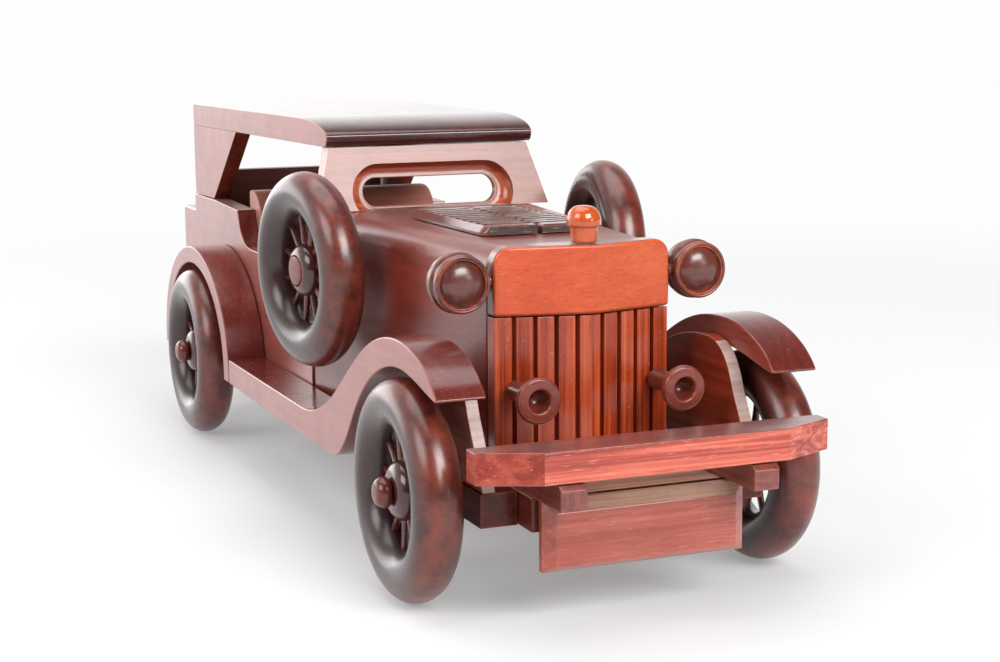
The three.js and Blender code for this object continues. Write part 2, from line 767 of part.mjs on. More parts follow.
// The plate that closes the space between the hood and the front wheel.
function cheekGeometry(side) {
  const profile = new THREE.Shape();
  const bottom = CHASSIS_TOP + GAP;
  profile.moveTo(-25.4, bottom);
  profile.lineTo(-14.9, 52);
  profile.bezierCurveTo(-11.9, 60, -7.9, CHEEK_TOP, 1.1, CHEEK_TOP);
  profile.bezierCurveTo(22, CHEEK_TOP, 32, 57, 50, 44);
  profile.lineTo(50, bottom);
  return prismX(profile, side * CHEEK_INNER_X, side * CHEEK_OUTER_X, 8);
}

function addFenders() {
  for (const { side, suffix } of SIDES) {
    addPart(`front_fender_${suffix}`, frontFenderGeometry(side), 'rosewood');
    addPart(`rear_fender_${suffix}`, rearFenderGeometry(side), 'rosewood');
    addPart(`cheek_plate_${suffix}`, cheekGeometry(side), 'mahogany');
  }
}

// ---------------------------------------------------------------- bumper and front plate

function bracketGeometry(side) {
  const bottom = CHASSIS_TOP + GAP;
  const top = BUMPER_BOTTOM - GAP;
  const profile = outline([
    [FRONT_Y, bottom],
    [-8, bottom],
    [-8, top],
    [FRONT_Y + 1.6, top],
    [FRONT_Y, top - 1.2],
  ]);
  return prismX(profile, side * BRACKET_INNER_X, side * CHASSIS_HALF_WIDTH);
}

// The plate hung on the chassis front, bevelled on all four sides.
function plateGeometry() {
  const backY = CHASSIS_FRONT_Y - GAP;
  const shoulderY = PLATE_FRONT_Y + 2.3;
  const slab = block(-PLATE_HALF_WIDTH, PLATE_HALF_WIDTH, PLATE_FRONT_Y, backY, PLATE_BOTTOM, PLATE_TOP);
  const sides = prismZ(outline([
    [-PLATE_HALF_WIDTH, backY],
    [-PLATE_HALF_WIDTH, shoulderY],
    [PLATE_BEVEL - PLATE_HALF_WIDTH, PLATE_FRONT_Y],
    [PLATE_HALF_WIDTH - PLATE_BEVEL, PLATE_FRONT_Y],
    [PLATE_HALF_WIDTH, shoulderY],
    [PLATE_HALF_WIDTH, backY],
  ]), PLATE_BOTTOM - 1, PLATE_TOP + 1);
  const ends = prismX(outline([
    [backY, PLATE_BOTTOM],
    [backY, PLATE_TOP],
    [shoulderY, PLATE_TOP],
    [PLATE_FRONT_Y, PLATE_TOP - PLATE_BEVEL],
    [PLATE_FRONT_Y, PLATE_BOTTOM + 1.6],
    [shoulderY, PLATE_BOTTOM],
  ]), -PLATE_HALF_WIDTH - 1, PLATE_HALF_WIDTH + 1);
  return overlap(overlap(slab, sides), ends);
}

function addFront() {
  addPart('bumper', prismZ(outline([
    [-BUMPER_BEND_X, BUMPER_FRONT_Y],
    [BUMPER_BEND_X, BUMPER_FRONT_Y],
    [BUMPER_END_X, BUMPER_END_Y],
    [BUMPER_END_X, BUMPER_BACK_Y],
    [-BUMPER_END_X, BUMPER_BACK_Y],
    [-BUMPER_END_X, BUMPER_END_Y],
  ]), BUMPER_BOTTOM, BUMPER_TOP), 'cherry');
  for (const { side, suffix } of SIDES) {
    addPart(`bumper_bracket_${suffix}`, bracketGeometry(side), 'cherry');
  }
  addPart('front_plate', plateGeometry(), 'cherry');
}

addChassis();
addWheels();
addRadiator();
addHood();
addLampsAndHorns();
addCabinTop();
addBody();
addFenders();
addFront();

const group = new THREE.Group();
group.add(car);

export default group;
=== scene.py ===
"""Stained-wood vintage touring car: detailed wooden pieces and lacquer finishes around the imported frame."""

import json
import math

import bmesh
import bpy
from mathutils import Matrix, Vector

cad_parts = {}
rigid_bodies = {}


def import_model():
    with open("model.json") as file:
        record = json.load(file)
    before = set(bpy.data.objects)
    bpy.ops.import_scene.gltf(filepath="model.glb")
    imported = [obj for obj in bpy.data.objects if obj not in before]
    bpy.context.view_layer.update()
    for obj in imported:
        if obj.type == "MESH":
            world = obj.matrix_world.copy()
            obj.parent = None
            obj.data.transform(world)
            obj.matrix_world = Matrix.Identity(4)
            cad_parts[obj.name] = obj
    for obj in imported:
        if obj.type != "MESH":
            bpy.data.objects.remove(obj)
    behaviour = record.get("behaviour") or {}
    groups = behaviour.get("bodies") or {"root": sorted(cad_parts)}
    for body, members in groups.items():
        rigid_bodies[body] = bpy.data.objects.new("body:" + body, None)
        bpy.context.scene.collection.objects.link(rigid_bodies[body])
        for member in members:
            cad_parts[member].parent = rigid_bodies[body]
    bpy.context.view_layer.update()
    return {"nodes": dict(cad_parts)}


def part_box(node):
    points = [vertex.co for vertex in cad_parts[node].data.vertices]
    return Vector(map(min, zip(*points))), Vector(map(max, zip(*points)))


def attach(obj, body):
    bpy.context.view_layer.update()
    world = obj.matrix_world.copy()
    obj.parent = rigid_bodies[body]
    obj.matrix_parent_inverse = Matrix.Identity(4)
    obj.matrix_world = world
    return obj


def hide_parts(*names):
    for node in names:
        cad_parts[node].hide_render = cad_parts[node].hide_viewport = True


for leftover in list(bpy.data.objects):
    bpy.data.objects.remove(leftover)

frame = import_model()
NODES = frame["nodes"]

MM = 0.001
FRONT_AXLE_Y = (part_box("tyre_front_right")[0].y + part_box("tyre_front_right")[1].y) / 2
SIDES = ((-1, "right"), (1, "left"))


def place(x, y, z):
    """Millimetres from the front axle's middle on the ground, as metres in the row frame."""
    return Vector((x * MM, FRONT_AXLE_Y + y * MM, z * MM))


# ---------------------------------------------------------------- node trees


class Tree:
    """A small helper that adds nodes and links to one material or world."""

    def __init__(self, owner):
        owner.use_nodes = True
        self.tree = owner.node_tree
        self.tree.nodes.clear()

    def add(self, kind, links=None, **props):
        node = self.tree.nodes.new(kind)
        for key, value in props.items():
            setattr(node, key, value)
        for key, value in (links or {}).items():
            self.feed(node.inputs[key], value)
        return node

    def feed(self, socket, value):
        if isinstance(value, bpy.types.NodeSocket):
            self.tree.links.new(value, socket)
        else:
            socket.default_value = value

    def math(self, operation, a, b=0.0, clamp=False):
        node = self.add("ShaderNodeMath", {0: a, 1: b}, operation=operation, use_clamp=clamp)
        return node.outputs[0]

    def fit(self, value, low, high, to_low=0.0, to_high=1.0):
        node = self.add("ShaderNodeMapRange", {0: value, 1: low, 2: high, 3: to_low, 4: to_high})
        return node.outputs[0]

    def mix(self, factor, a, b, blend="MIX"):
        node = self.add("ShaderNodeMix", data_type="RGBA", blend_type=blend)
        self.feed(node.inputs[0], factor)
        self.feed(node.inputs[6], a)
        self.feed(node.inputs[7], b)
        return node.outputs[2]

    def noise(self, vector, scale, detail=3.0, rough=0.55, distortion=0.0):
        node = self.add("ShaderNodeTexNoise", {
            "Vector": vector,
            "Scale": scale,
            "Detail": detail,
            "Roughness": rough,
            "Distortion": distortion,
        })
        return node.outputs[0]

    def stretch(self, vector, scale):
        return self.add("ShaderNodeMapping", {"Vector": vector, "Scale": scale}).outputs[0]

    def ramp(self, value, stops):
        node = self.add("ShaderNodeValToRGB", {0: value})
        elements = node.color_ramp.elements
        for element, (position, color) in zip(elements, (stops[0], stops[-1])):
            element.position = position
            element.color = (*color, 1)
        for position, color in stops[1:-1]:
            elements.new(position).color = (*color, 1)
        return node.outputs[0]


GRAIN_SCALE = {
    "x": (0.018, 1, 1),
    "y": (1, 0.018, 1),
    "z": (1, 1, 0.018),
    "turned": (0.35, 1, 1),
}


def edge_mask(tree, radius):
    """1 along outside and inside edges, 0 on open faces."""
    bevel = tree.add("ShaderNodeBevel", {"Radius": radius}, samples=4)
    normal = tree.add("ShaderNodeNewGeometry").outputs["Normal"]
    dot = tree.add("ShaderNodeVectorMath", {0: bevel.outputs[0], 1: normal}, operation="DOT_PRODUCT")
    return tree.fit(dot.outputs["Value"], 0.995, 0.86)


def wood(name, dark, mid, light, grain, worn=None, rough=0.3, coat=1.0, coat_rough=0.12, sheen=0.0,
         figure=0.5, fleck=0.0, wear=0.5, dust=0.0, bands=95.0, tread=None):
    """Stained hardwood under lacquer. Grain runs along the given axis of the piece."""
    material = bpy.data.materials.new(name)
    tree = Tree(material)
    coords = tree.add("ShaderNodeTexCoord").outputs["Object"]
    offset = tree.add("ShaderNodeObjectInfo").outputs["Random"]
    shift = tree.add("ShaderNodeCombineXYZ", {0: offset, 1: offset, 2: offset}).outputs[0]
    moved = tree.add("ShaderNodeVectorMath", {0: coords, 1: shift}, operation="ADD").outputs[0]
    scale = GRAIN_SCALE[grain]
    along = tree.stretch(moved, scale)

    rings = tree.noise(along, bands, 2.0, 0.5, 0.6)
    rings = tree.fit(tree.math("SINE", tree.math("MULTIPLY", rings, 34.0)), -1.0, 1.0)
    fibre = tree.noise(along, 1700.0, 4.0, 0.6)
    streak = tree.noise(along, 420.0, 3.0, 0.55)
    pores = tree.noise(tree.stretch(moved, [0.35 if s == 1 else s * 2.0 for s in scale]), 5200.0, 2.0, 0.6)
    blotch = tree.noise(moved, 38.0, 4.0, 0.6)

    tone = tree.math("MULTIPLY", tree.math("ADD", rings, tree.math("MULTIPLY", streak, 1.6)), 0.36 * figure)
    tone = tree.math("ADD", tone, tree.math("MULTIPLY", fibre, 0.30 + 0.25 * figure))
    tone = tree.math("ADD", tone, tree.math("MULTIPLY", blotch, 0.4 - 0.2 * figure))
    average = 0.35 + 0.49 * figure
    tone = tree.fit(tone, average - 0.25, average + 0.25)
    color = tree.ramp(tone, [(0.05, dark), (0.5, mid), (0.95, light)])
    pore_mask = tree.fit(pores, 0.40, 0.30)
    color = tree.mix(tree.math("MULTIPLY", pore_mask, 0.35), color, (*[c * 0.4 for c in dark], 1))
    if fleck:
        along_flecks = tree.stretch(moved, [0.6 if s == 1 else s * 4.0 for s in scale])
        flecks = tree.noise(along_flecks, 2600.0, 2.0, 0.5)
        fleck_mask = tree.math("MULTIPLY", tree.fit(flecks, 0.60, 0.72), fleck)
        color = tree.mix(fleck_mask, color, (*[min(1.0, c * 1.4 + 0.06) for c in light], 1))
    if tread is not None:
        radius = tree.add("ShaderNodeVectorMath", {0: tree.stretch(coords, (0, 1, 1))}, operation="LENGTH")
        rubbed = tree.fit(radius.outputs["Value"], 0.0235, 0.0295)
        uneven = tree.fit(tree.noise(moved, 130.0, 6.0, 0.7), 0.36, 0.64, 0.2, 1.0)
        rubbed = tree.math("MULTIPLY", rubbed, uneven)
        color = tree.mix(rubbed, color, (*tread, 1))
    if worn is not None:
        edge = edge_mask(tree, 0.0011)
        patch = tree.fit(tree.noise(moved, 260.0, 3.0, 0.6), 0.38, 0.62)
        amount = tree.math("MULTIPLY", tree.math("MULTIPLY", edge, patch), wear, clamp=True)
        color = tree.mix(amount, color, (*worn, 1))
    if dust:
        specks = tree.fit(tree.noise(moved, 1900.0, 2.0, 0.5), 0.70, 0.76)
        color = tree.mix(tree.math("MULTIPLY", specks, dust), color, (0.55, 0.47, 0.42, 1))

    smudge = tree.noise(moved, 120.0, 3.0, 0.6)
    roughness = tree.fit(smudge, 0.3, 0.7, rough - 0.06, rough + 0.08)
    roughness = tree.math("ADD", roughness, tree.math("MULTIPLY", fibre, 0.08))
    height = tree.math("ADD", tree.math("MULTIPLY", fibre, 0.6), tree.math("MULTIPLY", pore_mask, -0.5))
    bump = tree.add("ShaderNodeBump", {"Height": height, "Strength": 0.3, "Distance": 0.0001})
    ripple = tree.add("ShaderNodeBump", {
        "Height": tree.noise(moved, 420.0, 2.0, 0.5), "Strength": 0.2, "Distance": 0.0002,
    })
    shader = tree.add("ShaderNodeBsdfPrincipled", {
        "Base Color": color, "Roughness": roughness, "Normal": bump.outputs[0],
        "Coat Normal": ripple.outputs[0],
    })
    shader.inputs["IOR"].default_value = 1.45
    shader.inputs["Specular IOR Level"].default_value = 0.12
    shader.inputs["Coat Weight"].default_value = coat
    shader.inputs["Coat Roughness"].default_value = coat_rough
    shader.inputs["Coat IOR"].default_value = 1.6
    shader.inputs["Sheen Weight"].default_value = sheen
    shader.inputs["Sheen Roughness"].default_value = 0.35
    shader.inputs["Sheen Tint"].default_value = (1.0, 0.90, 0.89, 1)
    tree.add("ShaderNodeOutputMaterial", {"Surface": shader.outputs[0]})
    return material


ORANGE = (0.46, 0.075, 0.016)
RUST = (0.36, 0.050, 0.012)

TYRE = wood("tyre_ebony", (0.012, 0.004, 0.004), (0.026, 0.008, 0.008), (0.065, 0.016, 0.012), "turned",
            worn=RUST, rough=0.4, coat=0.9, coat_rough=0.27, figure=0.1, wear=0.2,
            tread=(0.19, 0.030, 0.015))
DARK_TURNED = wood("turned_walnut", (0.022, 0.006, 0.005), (0.058, 0.012, 0.009), (0.13, 0.028, 0.016),
                   "turned", worn=ORANGE, rough=0.36, coat_rough=0.16, figure=0.15, wear=0.8)
LAMP = wood("lamp_walnut", (0.050, 0.011, 0.008), (0.11, 0.024, 0.016), (0.20, 0.050, 0.030), "turned",
            worn=ORANGE, rough=0.4, coat_rough=0.24, figure=0.15, wear=0.9)
RED_TURNED = wood("turned_rosewood", (0.060, 0.011, 0.008), (0.14, 0.024, 0.016), (0.26, 0.056, 0.030),
                  "turned", worn=ORANGE, rough=0.36, coat=0.7, coat_rough=0.16, figure=0.15, wear=0.7,
                  dust=0.4)
AMBER = wood("turned_amber", (0.26, 0.028, 0.005), (0.46, 0.070, 0.010), (0.60, 0.12, 0.022), "turned",
             worn=(0.7, 0.2, 0.05), rough=0.22, coat_rough=0.05, figure=0.2, wear=0.3)
HOOD = wood("hood_mahogany", (0.070, 0.008, 0.004), (0.16, 0.017, 0.008), (0.28, 0.040, 0.017), "y",
            worn=ORANGE, rough=0.4, coat_rough=0.29, figure=0.2, wear=0.3, dust=0.4)
BODY = wood("body_rosewood", (0.14, 0.022, 0.015), (0.26, 0.044, 0.029), (0.37, 0.085, 0.055), "y",
            worn=ORANGE, rough=0.42, coat_rough=0.24, sheen=0.15, figure=0.18, wear=0.5)
# A darker stain for edges; on the front fenders' tops and edges it is partly painted shade, as less light
# reaches them than the sides.
EDGES_STAINED_AND_SHADED = wood("fender_edge", (0.055, 0.007, 0.005), (0.115, 0.015, 0.011), (0.20, 0.036, 0.024), "y",
                  worn=ORANGE, rough=0.36, coat=0.9, coat_rough=0.16, figure=0.2, wear=0.6, dust=0.3)
# The rear fenders' top and edge stain is made darker: painted shade, standing in for the shadow that falls
# there behind the spare wheel.
ARCH_PAINTED_SHADE = wood("arch_edge_painted_shade", (0.075, 0.008, 0.006), (0.16, 0.020, 0.014), (0.27, 0.048, 0.033), "y",
            worn=ORANGE, rough=0.44, coat=0.5, coat_rough=0.22, figure=0.2, wear=0.6, dust=0.4)
PINK = wood("screen_rosewood", (0.20, 0.068, 0.050), (0.29, 0.112, 0.083), (0.38, 0.17, 0.135), "x",
            worn=ORANGE, rough=0.42, coat=0.75, coat_rough=0.26, sheen=0.1, figure=0.22, wear=0.3,
            bands=60.0)
COVE = wood("cove_orange", (0.20, 0.024, 0.007), (0.38, 0.066, 0.022), (0.52, 0.13, 0.055), "x",
            rough=0.36, coat_rough=0.2, figure=0.5, dust=0.5)
ROOF = wood("roof_walnut", (0.022, 0.005, 0.005), (0.046, 0.009, 0.008), (0.095, 0.022, 0.018), "y",
            worn=ORANGE, rough=0.3, coat=0.85, coat_rough=0.11, figure=0.2, wear=0.7)
LOUVRE = wood("louvre_walnut", (0.060, 0.014, 0.012), (0.13, 0.033, 0.028), (0.23, 0.070, 0.058), "x",
              worn=(0.34, 0.11, 0.07), rough=0.34, coat_rough=0.18, figure=0.2, wear=0.6)
# Near-black groove colour: painted shade standing in for the shadow down in the louvre grooves.
GROOVE_SHADE = wood("louvre_groove_painted_shade", (0.008, 0.003, 0.003), (0.016, 0.005, 0.005), (0.030, 0.010, 0.009), "x",
              rough=0.6, coat=0.2, coat_rough=0.4, figure=0.2)
DUSTY = wood("dusty_end", (0.045, 0.028, 0.024), (0.11, 0.075, 0.066), (0.22, 0.165, 0.15), "x",
             rough=0.8, coat=0.15, coat_rough=0.5, figure=0.7, fleck=0.5, dust=0.7)
SHELL = wood("shell_cherry", (0.36, 0.036, 0.008), (0.50, 0.066, 0.016), (0.64, 0.125, 0.040), "x",
             worn=(0.70, 0.16, 0.05), rough=0.36, coat=0.6, coat_rough=0.2, figure=0.12, fleck=0.08,
             wear=0.3)
# A copy of the shell stain in a slightly different tone for the left half of the pointed front: painted
# light, so the two halves of the ridge read as lit differently.
SHELL_LEFT_PAINTED_LIGHT = wood("shell_cherry_left_painted_light", (0.36, 0.040, 0.009), (0.49, 0.072, 0.019), (0.63, 0.13, 0.045), "x",
                  worn=(0.70, 0.16, 0.05), rough=0.4, coat=0.5, coat_rough=0.28, figure=0.12, fleck=0.1,
                  wear=0.3)
# A darker copy of the bumper stain for its angled end facing -X: painted shade, standing in for less light on
# that end than on the front.
BUMPER_END_PAINTED_SHADE = wood("bumper_end_painted_shade", (0.14, 0.012, 0.006), (0.26, 0.028, 0.014), (0.42, 0.075, 0.042), "x",
                  worn=(0.60, 0.17, 0.10), rough=0.36, coat=0.5, coat_rough=0.2, figure=0.5, fleck=0.4,
                  wear=0.3, dust=0.4)
BUMPER = wood("bumper_cherry", (0.20, 0.015, 0.007), (0.42, 0.050, 0.024), (0.64, 0.14, 0.085), "x",
              worn=(0.72, 0.26, 0.17), rough=0.34, coat_rough=0.15, figure=0.75, fleck=0.45, wear=0.45,
              dust=0.4, bands=140.0)
# A darker stain for the shell's top, sides and back and the bumper's top and bottom: painted shade, as less
# light falls on these faces than on the fronts.
EDGE_PAINTED_SHADE = wood("edge_walnut_painted_shade", (0.070, 0.012, 0.010), (0.14, 0.028, 0.023), (0.24, 0.062, 0.050), "x",
                  worn=(0.60, 0.24, 0.16), rough=0.34, coat_rough=0.18, sheen=0.1, figure=0.25, wear=0.5,
                  dust=0.4)
# The front plate's stain is made darker, partly painted shade for the lower light near the bottom of the
# front.
PLATE_PAINTED_SHADE = wood("plate_cherry_painted_shade", (0.18, 0.020, 0.010), (0.31, 0.050, 0.029), (0.44, 0.11, 0.072), "x",
             worn=(0.66, 0.26, 0.17), rough=0.36, coat_rough=0.17, figure=0.4, fleck=0.2, wear=0.6,
             dust=0.3)
SLATS = wood("grille_mahogany", (0.16, 0.014, 0.003), (0.33, 0.040, 0.009), (0.52, 0.095, 0.026), "z",
             worn=(0.42, 0.10, 0.035), rough=0.36, coat=0.7, coat_rough=0.2, figure=0.6, wear=0.3,
             dust=0.5, bands=180.0)
# A lighter stain for the seat, floor board and rear panel, partly painted light standing in for the light
# that reaches them inside the cabin.
CABIN_PAINTED_LIGHT = wood("cabin_rosewood_painted_light", (0.26, 0.078, 0.056), (0.40, 0.14, 0.105), (0.54, 0.23, 0.18), "x",
             worn=ORANGE, rough=0.55, coat=0.4, coat_rough=0.3, sheen=0.3, figure=0.2, wear=0.4, dust=0.3)
UNDER = wood("chassis_mahogany", (0.038, 0.005, 0.003), (0.080, 0.010, 0.006), (0.16, 0.030, 0.017), "y",
             worn=ORANGE, rough=0.46, coat=0.35, coat_rough=0.2, figure=0.25, wear=0.6)
PILLAR_EDGE = wood("pillar_edge", (0.065, 0.009, 0.005), (0.14, 0.021, 0.011), (0.22, 0.050, 0.026), "z",
                   worn=ORANGE, rough=0.45, coat=0.5, coat_rough=0.25, figure=0.25, wear=0.5)
CHEEK = wood("cheek_mahogany", (0.13, 0.016, 0.007), (0.26, 0.036, 0.014), (0.40, 0.080, 0.034), "y",
             worn=ORANGE, rough=0.36, coat_rough=0.16, figure=0.3, wear=0.4, dust=0.4)
BRACKET = wood("bracket_mahogany", (0.070, 0.012, 0.009), (0.15, 0.028, 0.021), (0.27, 0.065, 0.046), "y",
               worn=ORANGE, rough=0.4, coat_rough=0.22, figure=0.3, wear=0.6)
BARE = wood("bare_wood", (0.22, 0.105, 0.068), (0.38, 0.205, 0.145), (0.52, 0.34, 0.26), "x",
            rough=0.75, coat=0.0, figure=0.5, dust=0.5)
BARE_EDGE = wood("pale_edge", (0.22, 0.115, 0.09), (0.36, 0.25, 0.22), (0.48, 0.37, 0.33), "x",
                 rough=0.6, coat=0.2, figure=0.3, dust=0.2)


# ---------------------------------------------------------------- mesh building


def add_piece(name, mesh, material, body="car", node=None):
    """Links a mesh as a piece that rides on a body and stands for a CAD node."""
    piece = bpy.data.objects.new(name, mesh)
    bpy.context.scene.collection.objects.link(piece)
    mesh.materials.append(material)
    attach(piece, body)
    if node:
        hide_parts(node)
    return piece


def smooth(piece, angle=math.radians(35)):
    for polygon in piece.data.polygons:
        polygon.use_smooth = True
    piece.data.set_sharp_from_angle(angle=angle)


def soften(piece, width, segments=3, limit=math.radians(28)):
    """Rounds a piece's arrises with a narrow bevel."""
    bevel = piece.modifiers.new("arris", "BEVEL")
    bevel.width = width * MM
    bevel.segments = segments
    bevel.limit_method = "ANGLE"
    bevel.angle_limit = limit
    bevel.harden_normals = True
    bevel.miter_outer = "MITER_ARC"


def prism_mesh(name, points, depth):
    """A closed prism: each outline point is repeated, moved by depth."""
    mesh = bpy.data.meshes.new(name)
    build = bmesh.new()
    near = [build.verts.new(point) for point in points]
    far = [build.verts.new(point + depth) for point in points]
    build.faces.new(near)
    build.faces.new(far[::-1])
    count = len(points)
    for i in range(count):
        build.faces.new((near[i], far[i], far[(i + 1) % count], near[(i + 1) % count]))
    bmesh.ops.recalc_face_normals(build, faces=build.faces)
    build.to_mesh(mesh)
    build.free()
    return mesh


def board_x(name, outline, x0, x1, material, width=0.6, node=None, segments=3):
    """A board sawn to a (y, z) outline in millimetres and x0 to x1 thick."""
    points = [place(x0, y, z) for y, z in outline]
    mesh = prism_mesh(name, points, Vector(((x1 - x0) * MM, 0, 0)))
    piece = add_piece(name, mesh, material, node=node)
    smooth(piece)
    soften(piece, width, segments)
    return piece


def turned_mesh(name, profile, steps, closed=True):
    """A lathe-turned body about X from (radius, distance) pairs in millimetres."""
    mesh = bpy.data.meshes.new(name)
    build = bmesh.new()
    rings = []
    for radius, along in profile:
        if radius < 1e-6:
            rings.append([build.verts.new((along * MM, 0, 0))])
            continue
        ring = []
        for i in range(steps):
            angle = 2 * math.pi * i / steps
            ring.append(build.verts.new((
                along * MM, radius * math.cos(angle) * MM, radius * math.sin(angle) * MM,
            )))
        rings.append(ring)
    pairs = list(zip(rings, rings[1:] + rings[:1])) if closed else list(zip(rings, rings[1:]))
    for first, second in pairs:
        if len(first) == 1 and len(second) == 1:
            continue
        for i in range(steps):
            j = (i + 1) % steps
            if len(first) == 1:
                build.faces.new((first[0], second[j], second[i]))
            elif len(second) == 1:
                build.faces.new((first[i], first[j], second[0]))
            else:
                build.faces.new((first[i], first[j], second[j], second[i]))
    bmesh.ops.recalc_face_normals(build, faces=build.faces)
    build.to_mesh(mesh)
    build.free()
    return mesh


def catmull(points, steps, closed=False):
    """A smooth curve through 2D points."""
    result = []
    count = len(points)
    spans = count if closed else count - 1
    for i in range(spans):
        if closed:
            p = [points[(i + k) % count] for k in (-1, 0, 1, 2)]
        else:
            p = [points[min(max(i + k, 0), count - 1)] for k in (-1, 0, 1, 2)]
        for step in range(steps):
            t = step / steps
            result.append(tuple(
                0.5 * (2 * b + (c - a) * t + (2 * a - 5 * b + 4 * c - d) * t * t
                       + (3 * b - a - 3 * c + d) * t ** 3)
                for a, b, c, d in zip(*p)
            ))
    if not closed:
        result.append(tuple(points[-1]))
    return result


def cubic(p0, p1, p2, p3, steps):
    """Points of a cubic curve, without its first point."""
    result = []
    for step in range(1, steps + 1):
        t = step / steps
        result.append(tuple(
            a * (1 - t) ** 3 + 3 * b * t * (1 - t) ** 2 + 3 * c * t * t * (1 - t) + d * t ** 3
            for a, b, c, d in zip(p0, p1, p2, p3)
        ))
    return result


def ellipse(cy, cz, ry, rz, start, end, steps):
    """Points of an elliptical arc between two angles in degrees, both ends included."""
    result = []
    for step in range(steps + 1):
        angle = math.radians(start + (end - start) * step / steps)
        result.append((cy + ry * math.cos(angle), cz + rz * math.sin(angle)))
    return result


def join_meshes(target, others):
    """Adds other meshes to a mesh data block."""
    build = bmesh.new()
    build.from_mesh(target)
    for other in others:
        build.from_mesh(other)
        bpy.data.meshes.remove(other)
    build.to_mesh(target)
    build.free()
    return target


# ---------------------------------------------------------------- wheels

TYRE_SECTION = 6.75
SPOKES = 12
WHEEL_RADII = (("front", 30.0), ("rear", 30.8))
WHEEL_BORE = 1.75
PEG_INNER_END = -20.5
PEG_RADIUS = 1.6
PEG_HEAD = (4.2, 4.1)
SPARE_RADIUS = 30.0
SPARE_BORE = 4.75
SPARE_PLACE = (49.6, 94.2, 77.5)
SPARE_TURN = 0.134
SPARE_DIP = 0.02


def tyre_mesh(radius):
    profile = [
        (radius - TYRE_SECTION + TYRE_SECTION * math.cos(a), TYRE_SECTION * math.sin(a))
        for a in (2 * math.pi * i / 36 for i in range(36))
    ]
    return turned_mesh("tyre", profile, 112)


def hub_mesh(radius, bore, domed):
    """A turned hub with tapered spokes let into it."""
    outer = [
        (6.5, -5.5), (7.6, -4.9), (8.1, -3.2), (8.2, -0.6), (8.2, 1.2), (7.9, 2.4), (7.1, 3.5),
        (5.9, 4.35), (4.9, 4.7),
    ]
    face = [(bore + 0.1, 4.8)] if domed else []
    profile = catmull(outer, 4) + face + [(bore, 4.3), (bore, -5.5)]
    mesh = turned_mesh("hub", profile, 56)
    end = radius - 2 * TYRE_SECTION + 0.4
    spokes = []
    for i in range(SPOKES):
        spoke = turned_mesh("spoke", [
            (0, 5.6), (1.15, 5.6), (1.1, 9.5), (0.95, 13.0), (0.95, end), (0, end),
        ], 16, closed=False)
        spread = Matrix.Rotation((i + 0.5) * 2 * math.pi / SPOKES, 4, "X")
        spoke.transform(spread @ Matrix.Rotation(-math.pi / 2, 4, "Y"))
        spokes.append(spoke)
    return join_meshes(mesh, spokes)


def peg_profile(inner, radius, head, length):
    """Shank and mushroom head of the peg a wheel turns on."""
    face = 5.2
    dome = catmull([
        (head * 0.90, face), (head, face + length * 0.16), (head, face + length * 0.38),
        (head * 0.88, face + length * 0.68), (head * 0.60, face + length * 0.92), (0, face + length),
    ], 5)
    return [(0, inner), (radius, inner), (radius, face)] + dome


def seat_piece(name, mesh, material, body, node, position, turn):
    """A turned piece: the turn goes into its mesh, and the object only carries the position."""
    mesh.transform(turn)
    piece = bpy.data.objects.new(name, mesh)
    bpy.context.scene.collection.objects.link(piece)
    mesh.materials.append(material)
    piece.location = position
    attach(piece, body)
    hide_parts(node)
    smooth(piece)
    return piece


def middle(node):
    low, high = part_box(node)
    return (low + high) / 2


def add_wheels():
    for side, suffix in SIDES:
        flip = math.pi if side < 0 else 0.0
        for index, (end, radius) in enumerate(WHEEL_RADII):
            body = f"wheel_{end}_{suffix}"
            position = middle(f"tyre_{end}_{suffix}")
            turn = Matrix.Rotation(flip, 4, "Z") @ Matrix.Rotation(0.7 * index + 0.4 * side, 4, "X")
            seat_piece(f"{end}_{suffix}_tyre", tyre_mesh(radius), TYRE, body,
                       f"tyre_{end}_{suffix}", position, turn)
            seat_piece(f"{end}_{suffix}_hub", hub_mesh(radius, WHEEL_BORE, True), DARK_TURNED, body,
                       f"hub_{end}_{suffix}", position, turn)
            peg = turned_mesh("peg", peg_profile(PEG_INNER_END, PEG_RADIUS, *PEG_HEAD), 48, closed=False)
            seat_piece(f"{end}_{suffix}_peg", peg, RED_TURNED, "car", f"axle_peg_{end}_{suffix}",
                       position, turn)
        x, y, z = SPARE_PLACE
        position = place(x * side, y, z)
        turn = Matrix.Rotation(flip - side * SPARE_TURN, 4, "Z") @ Matrix.Rotation(SPARE_DIP, 4, "Y")
        seat_piece(f"spare_{suffix}_tyre", tyre_mesh(SPARE_RADIUS), TYRE, "car",
                   f"spare_tyre_{suffix}", position, turn)
        seat_piece(f"spare_{suffix}_hub", hub_mesh(SPARE_RADIUS, SPARE_BORE, False), DARK_TURNED,
                   "car", f"spare_hub_{suffix}", position, turn)
        plug = [(0, -12.6), (1.6, -12.6), (1.6, -3.0), (3.8, -2.6), (4.5, -1.8), (4.5, 4.2)]
        plug += catmull([(4.5, 4.6), (4.35, 4.95), (3.9, 5.1), (2.4, 5.2), (0, 5.25)], 4)
        seat_piece(f"spare_{suffix}_plug", turned_mesh("plug", plug, 48, closed=False), RED_TURNED,
                   "car", f"spare_peg_{suffix}", position, turn)


# ---------------------------------------------------------------- turned fittings


FACING_FRONT = Matrix.Rotation(math.pi / 2, 4, "Z")
UPRIGHT = Matrix.Rotation(-math.pi / 2, 4, "Y")
LAMP_PLACE = (35.3, 0.8, 83.5)
LAMP_STEM_BACK = 3.8
HORN_PLACE = (21.2, -17.5, 54.3)


